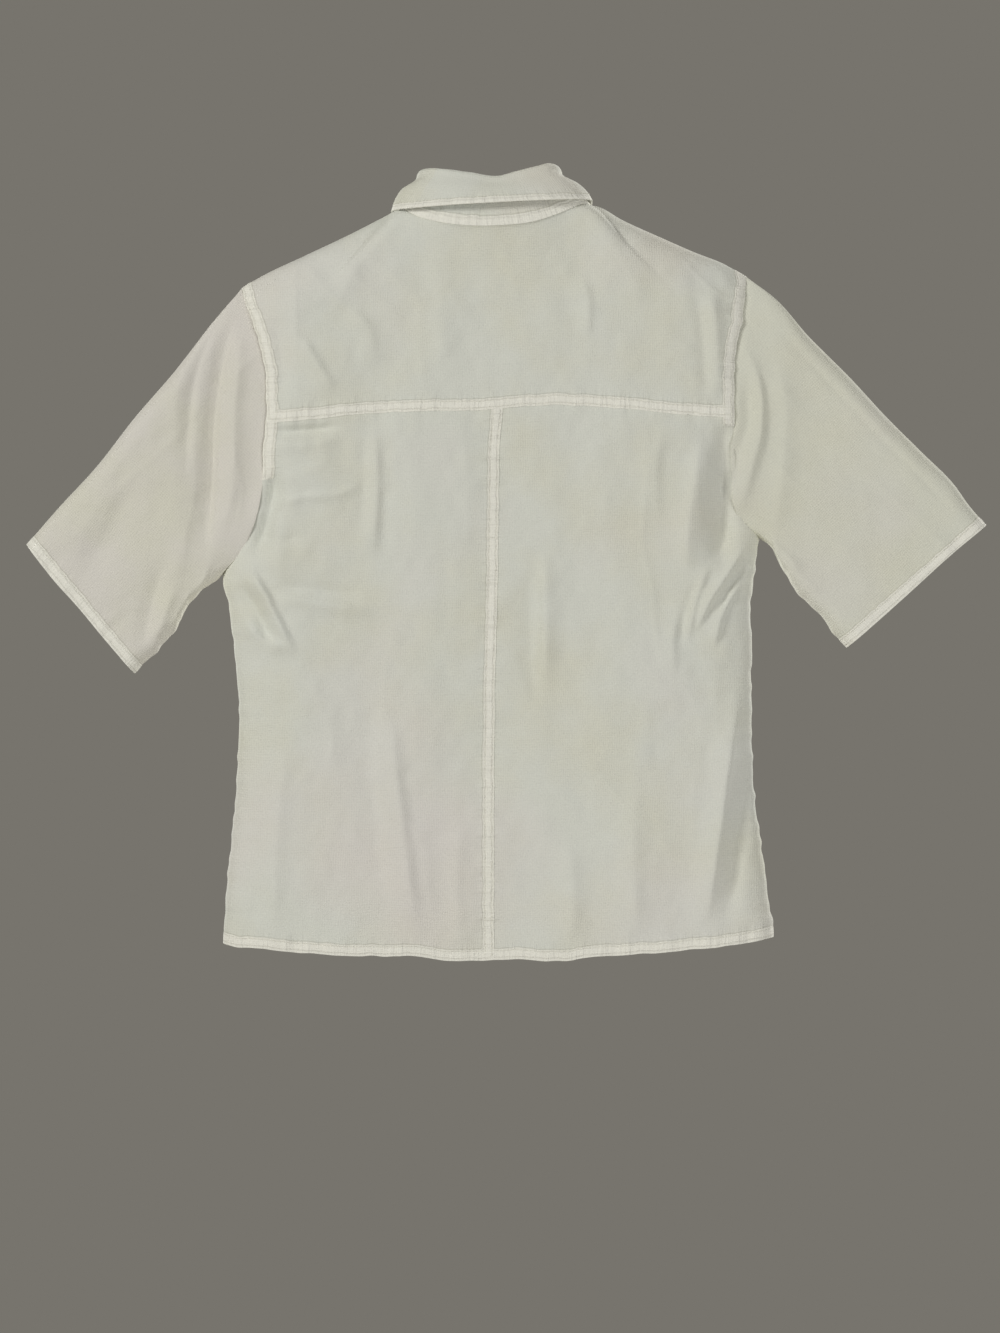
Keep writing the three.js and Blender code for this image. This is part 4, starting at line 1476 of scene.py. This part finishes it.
for part, heights in (("_top", BUTTON_Z[:1]), ("", BUTTON_Z[1:])):
    loops = []
    for z0 in heights:
        angle = np.linspace(0, 2 * np.pi, 60)
        wide, tall = 1.3 * np.cos(angle), 6.2 * np.sign(np.sin(angle)) * np.abs(
            np.sin(angle)
        ) ** 0.5
        z = z0 + tall
        loops.append(np.stack([wide, front_y(wide, z) + BAND_LIFT + 0.75, z], -1))
    stitched(f"buttonholes{part}", loops, buttonhole_stitches)
print(
    "stitching:", sum(len(o.data.polygons) for n, o in made.items() if "stitches" in n), "faces"
)

# %% [markdown]
# ## What each piece is and how it moves
# Every visible piece takes the place of its plain solid, which is hidden. A piece that crosses
# no joint is tied to its body and moves with it. Cloth that crosses a joint, the sleeves at the
# armholes, the collar at its sides and the fronts below the fold, only has its placement baked
# into its mesh here.

# %% Tie the pieces to the model
ARM_BEND = {
    "left": ((-0.244, 0, -0.2), (-0.292, 0, -0.2)), "right": ((0.238, 0, -0.2), (0.288, 0, -0.2)),
}
FRONT_BEND = ((0, 0.0235, -0.141), (0, 0.0235, -0.30))
COLLAR_BEND = {
    "right": ((0.0735, 0.0145, 0), (0.0662, -0.0151, 0)),
    "left": ((-0.0758, 0.0045, 0), (-0.0608, -0.0228, 0)),
}


def dress(name, nodes, body="shirt", bend=None):
    piece = made[name]
    if bend:
        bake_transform(piece)
    else:
        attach(piece, body)
    if nodes:
        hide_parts(*nodes)
    return piece


dress("yoke_cloth", ["yoke"])
for word in ("left", "right"):
    dress(f"back_{word}_cloth", [f"back_{word}"])
    dress(f"front_{word}_side_cloth", [f"front_{word}_side"])
    dress(
        f"front_{word}_flap_cloth",
        [f"front_{word}_flap"],
        f"{word}_front",
        FRONT_BEND,
    )
    dress(
        f"sleeve_{word}_cloth",
        [f"sleeve_{word}"],
        f"{word}_sleeve",
        ARM_BEND[word],
    )
    dress(f"{word}_front_stitches", [], f"{word}_front", FRONT_BEND)
    dress(f"{word}_cuff_stitches", [], f"{word}_sleeve", ARM_BEND[word])
    nodes = [f"upper_collar_{word}", f"under_collar_{word}"]
    dress(f"collar_{word}_cloth", nodes, "collar_back", COLLAR_BEND[word])
    dress(f"collar_{word}_stitches", [], "collar_back", COLLAR_BEND[word])
dress(
    "collar_back_cloth", ["upper_collar_back", "under_collar_back"], "collar_back"
)
dress("collar_back_stitches", [], "collar_back")
dress("collar_stand_cloth", ["collar_stand_outer", "collar_stand_inner"])
dress("body_stitches", [])
dress("button_band_top_cloth", ["button_band_top"])
dress("buttonhole_band_top_cloth", ["buttonhole_band_top"])
dress("button_band_cloth", ["button_band"], "left_front", FRONT_BEND)
dress("buttonhole_band_cloth", ["buttonhole_band"], "right_front", FRONT_BEND)
dress("buttonholes_top", [])
dress("buttonholes", [], "right_front", FRONT_BEND)
for n in range(1, 8):
    body, bend = ("shirt", None) if n < 3 else ("left_front", FRONT_BEND)
    dress(f"button_{n}_turned", [f"button_{n}"], body, bend)
    dress(f"button_{n}_sewing", [f"button_thread_{n}"], body, bend)


# %% [markdown]
# ## How each sheet was cut
# Every cut size below comes from the seam and edge lines alone, laid flat, and not from the
# finished meshes. So the share that is printed, finished cloth over cut cloth, is a real test:
# folds and the round of the body take up some cloth, and a share far from 1 would mean that
# the cloth was stretched or crumpled somewhere.


# %% Cut sizes
def inside(outline):
    """Width, length and area of a closed flat outline in mm, as m, m and m2."""
    x, z = np.asarray(outline, float).T
    area = abs(np.sum(x * np.roll(z, -1) - z * np.roll(x, -1))) / 2e6
    return np.ptp(x) / 1000, np.ptp(z) / 1000, area


def panel(left, right, high, low):
    """A flat piece between two lines down the cloth and two lines across it."""
    t = np.linspace(0, 1, 120)
    corners = []
    for down, across in ((left, high), (right, high), (right, low), (left, low)):
        z = float(across(down(float(across(0.0)))))
        corners.append((float(down(z)), z))
    (x0, z0), (x1, z1), (x2, z2), (x3, z3) = corners
    sides = [(mix(x0, x1, t), high(mix(x0, x1, t))), (right(mix(z1, z2, t)), mix(z1, z2, t)),
             (mix(x2, x3, t), low(mix(x2, x3, t))), (left(mix(z3, z0, t)), mix(z3, z0, t))]
    return inside(np.concatenate([np.stack(np.broadcast_arrays(x, z), -1) for x, z in sides]))


def level(z):
    return lambda x: z + 0 * np.asarray(x)


def beside(a, b):
    """Two pieces cut in one, side by side."""
    return a[0] + b[0], max(a[1], b[1]), a[2] + b[2]


def above(a, b):
    """Two pieces cut in one, one above the other."""
    return max(a[0], b[0]), a[1] + b[1], a[2] + b[2]


def sleeve_cut(top, low, cuff, armhole):
    """A sleeve opened out: twice the flat outline between its four lines."""
    t = np.linspace(0, 1, 120)
    lines = [through(top, t), through(cuff, t), through(low, t)[::-1], through(armhole, t)[::-1]]
    around = np.linalg.norm(np.diff(lines[3], axis=0), axis=-1).sum() / 1000
    along_top = np.linalg.norm(np.diff(lines[0], axis=0), axis=-1).sum() / 1000
    return 2 * around, along_top, 2 * inside(np.concatenate(lines))[2]


def leaf_cut(start, end):
    """A length of the collar: the strip from its roll line to its edge, and 12 mm for the roll."""
    turns = np.linspace(start, end, 60)
    x, y = ring(61, 22, turns, -5 * (1 - forward(turns)))
    rolled, edge = np.stack([x, y, roll_z(x, turns)], -1), np.stack(collar_edge(turns), -1)
    deep = np.linalg.norm(edge - rolled, axis=-1) + 12
    run_mm = np.linalg.norm(np.diff((edge + rolled) / 2, axis=0), axis=-1)
    longest = np.linalg.norm(np.diff(edge, axis=0), axis=-1).sum()
    return longest / 1000, deep.max() / 1000, np.sum(run_mm * (deep[1:] + deep[:-1]) / 2) / 1e6


def stand_cut():
    """The stand: the neck seam's length, by the 34 mm that such a band is cut to."""
    points = np.stack(stand_base(np.linspace(0, 1, 200)), -1)
    around = np.linalg.norm(np.diff(points, axis=0), axis=-1).sum() / 1000
    return around, 0.034, around * 0.034


def crease(side):
    return lambda z: side * fold_line(np.asarray(z), side)


middle_l, middle_r = level(-BAND_HALF), level(BAND_HALF)
strip = (SHOULDER_R[0] - NECK_R + NECK_L - SHOULDER_L[0]) / 1000 * YOKE_FRONT / 1000
yoke = panel(edge_l, edge_r, back_top, yoke_z)
opened = (
    yoke[0], np.max(back_top(base_x) - yoke_z(base_x)) / 1000 + YOKE_FRONT / 1000, yoke[2] + strip
)
below_yoke = lambda x: back_top(x) - YOKE_FRONT
cut_sizes = {
    "yoke_cloth": opened,
    "back_left_cloth": panel(edge_l, lambda z: centre_x(z) + BAND / 2, yoke_z, hem_z),
    "back_right_cloth": panel(lambda z: centre_x(z) + BAND / 2, edge_r, yoke_z, hem_z),
    "front_left_side_cloth": above(
        beside(
            panel(edge_l, level(NECK_L), below_yoke, level(FLAP_TOP)),
            panel(level(NECK_L), middle_l, front_top, level(FLAP_TOP)),
        ),
        panel(edge_l, crease(-1), level(FLAP_TOP), hem_z),
    ),
    "front_right_side_cloth": above(
        beside(
            panel(level(NECK_R), edge_r, below_yoke, level(FLAP_TOP)),
            panel(middle_r, level(NECK_R), front_top, level(FLAP_TOP)),
        ),
        panel(crease(1), edge_r, level(FLAP_TOP), hem_z),
    ),
    "front_left_flap_cloth": panel(crease(-1), middle_l, level(FLAP_TOP), hem_z),
    "front_right_flap_cloth": panel(middle_r, crease(1), level(FLAP_TOP), hem_z),
    "sleeve_left_cloth": sleeve_cut(TOP_L, LOW_L, CUFF_L, ARMHOLE_L),
    "sleeve_right_cloth": sleeve_cut(TOP_R, LOW_R, CUFF_R, ARMHOLE_R),
    "collar_stand_cloth": stand_cut(),
    "collar_back_cloth": leaf_cut(BACK_FROM, BACK_TO),
    "collar_left_cloth": leaf_cut(BACK_TO, 0.984),
    "collar_right_cloth": leaf_cut(0.016, BACK_FROM),
}
for word in ("button", "buttonhole"):
    cut_sizes[f"{word}_band_top_cloth"] = panel(middle_l, middle_r, front_top, level(FLAP_TOP))
    cut_sizes[f"{word}_band_cloth"] = panel(middle_l, middle_r, level(FLAP_TOP), hem_z)
print("cut pieces:", len(cut_sizes))

# What each piece is sewn to above it, and the stitches that it carries. The yoke hangs from
# whatever holds the shirt up, so it rests on nothing that is part of the shirt.
SEWN_TO = {
    "yoke_cloth": ([], []),
    "back_left_cloth": (["yoke_cloth"], ["body_stitches"]),
    "back_right_cloth": (["yoke_cloth"], []),
    "front_left_side_cloth": (["yoke_cloth"], []),
    "front_right_side_cloth": (["yoke_cloth"], []),
    "front_left_flap_cloth": (["front_left_side_cloth"], ["left_front_stitches"]),
    "front_right_flap_cloth": (["front_right_side_cloth"], ["right_front_stitches"]),
    "button_band_top_cloth": (["front_left_side_cloth"], []),
    "button_band_cloth": (["front_left_flap_cloth"], []),
    "buttonhole_band_top_cloth": (["front_right_side_cloth"], ["buttonholes_top"]),
    "buttonhole_band_cloth": (["front_right_flap_cloth"], ["buttonholes"]),
    "sleeve_left_cloth": (["yoke_cloth"], ["left_cuff_stitches"]),
    "sleeve_right_cloth": (["yoke_cloth"], ["right_cuff_stitches"]),
    "collar_stand_cloth": (["yoke_cloth"], []),
    "collar_back_cloth": (["collar_stand_cloth"], ["collar_back_stitches"]),
    "collar_left_cloth": (["collar_stand_cloth"], ["collar_left_stitches"]),
    "collar_right_cloth": (["collar_stand_cloth"], ["collar_right_stitches"]),
}
for name, (hangs_from, extras) in SEWN_TO.items():
    width, length, area = (float(v) for v in cut_sizes[name])
    parts = [made[extra] for extra in extras]
    measured = sum(f.area for f in made[name].data.polygons) / 2
    print(
        "%-26s %.3f x %.3f m, cut %.4f m2, share %.2f" % (
            name, width, length, area, measured / area,
        )
    )

# %% [markdown]
# ## Light, backdrop and camera
# A white shirt shows its folds only in soft light from one side. One large lamp stands up
# and to the left, a weaker one fills the right, and a plain grey surrounds it all. A pale
# floor lies well below, where it throws a little light up under the hem.

# %% Stage
scene = bpy.context.scene
scene.view_settings.view_transform = "Standard"

world = bpy.data.worlds.new("grey room")
scene.world = world
world.use_nodes = True
world.node_tree.nodes["Background"].inputs[0].default_value = linear("#77746d")
world.node_tree.nodes["Background"].inputs[1].default_value = 1.0


def lamp(name, place, aim, size, power, hex_colour):
    light = bpy.data.lights.new(name, "AREA")
    light.size, light.energy = size, power
    light.color = linear(hex_colour)[:3]
    o = bpy.data.objects.new(name, light)
    bpy.context.collection.objects.link(o)
    o.location = place
    direction = np.array(aim) - np.array(place)
    yaw = math.atan2(direction[1], direction[0]) - math.pi / 2
    pitch = math.atan2(direction[2], math.hypot(direction[0], direction[1]))
    o.rotation_euler = (math.pi / 2 + pitch, 0, yaw)
    return o


lamps = [
    lamp("window", (-3.5, -2.7, 1.45), (0, 0, -0.4), 1.2, 115, "#fffefb"),
    lamp("fill", (2.5, -3.1, -0.7), (0, 0, -0.45), 1.8, 54, "#fdfdff"),
    lamp("behind", (3.3, 3.1, 1.9), (0, 0, -0.4), 1.3, 165, "#fffefb"),
    lamp("behind, fill", (-2.6, 3.0, -0.6), (0, 0, -0.45), 1.8, 60, "#fdfdff"),
]
bpy.ops.mesh.primitive_circle_add(
    vertices=64, radius=1.15, fill_type="NGON", location=(0, 0, -1.6),
)
floor = bpy.context.object
floor.name = "floor"
floor.data.materials.append(plain("pale floor", "#d8d5cc", 0.9, 0.0))
print("lamps:", len(lamps))
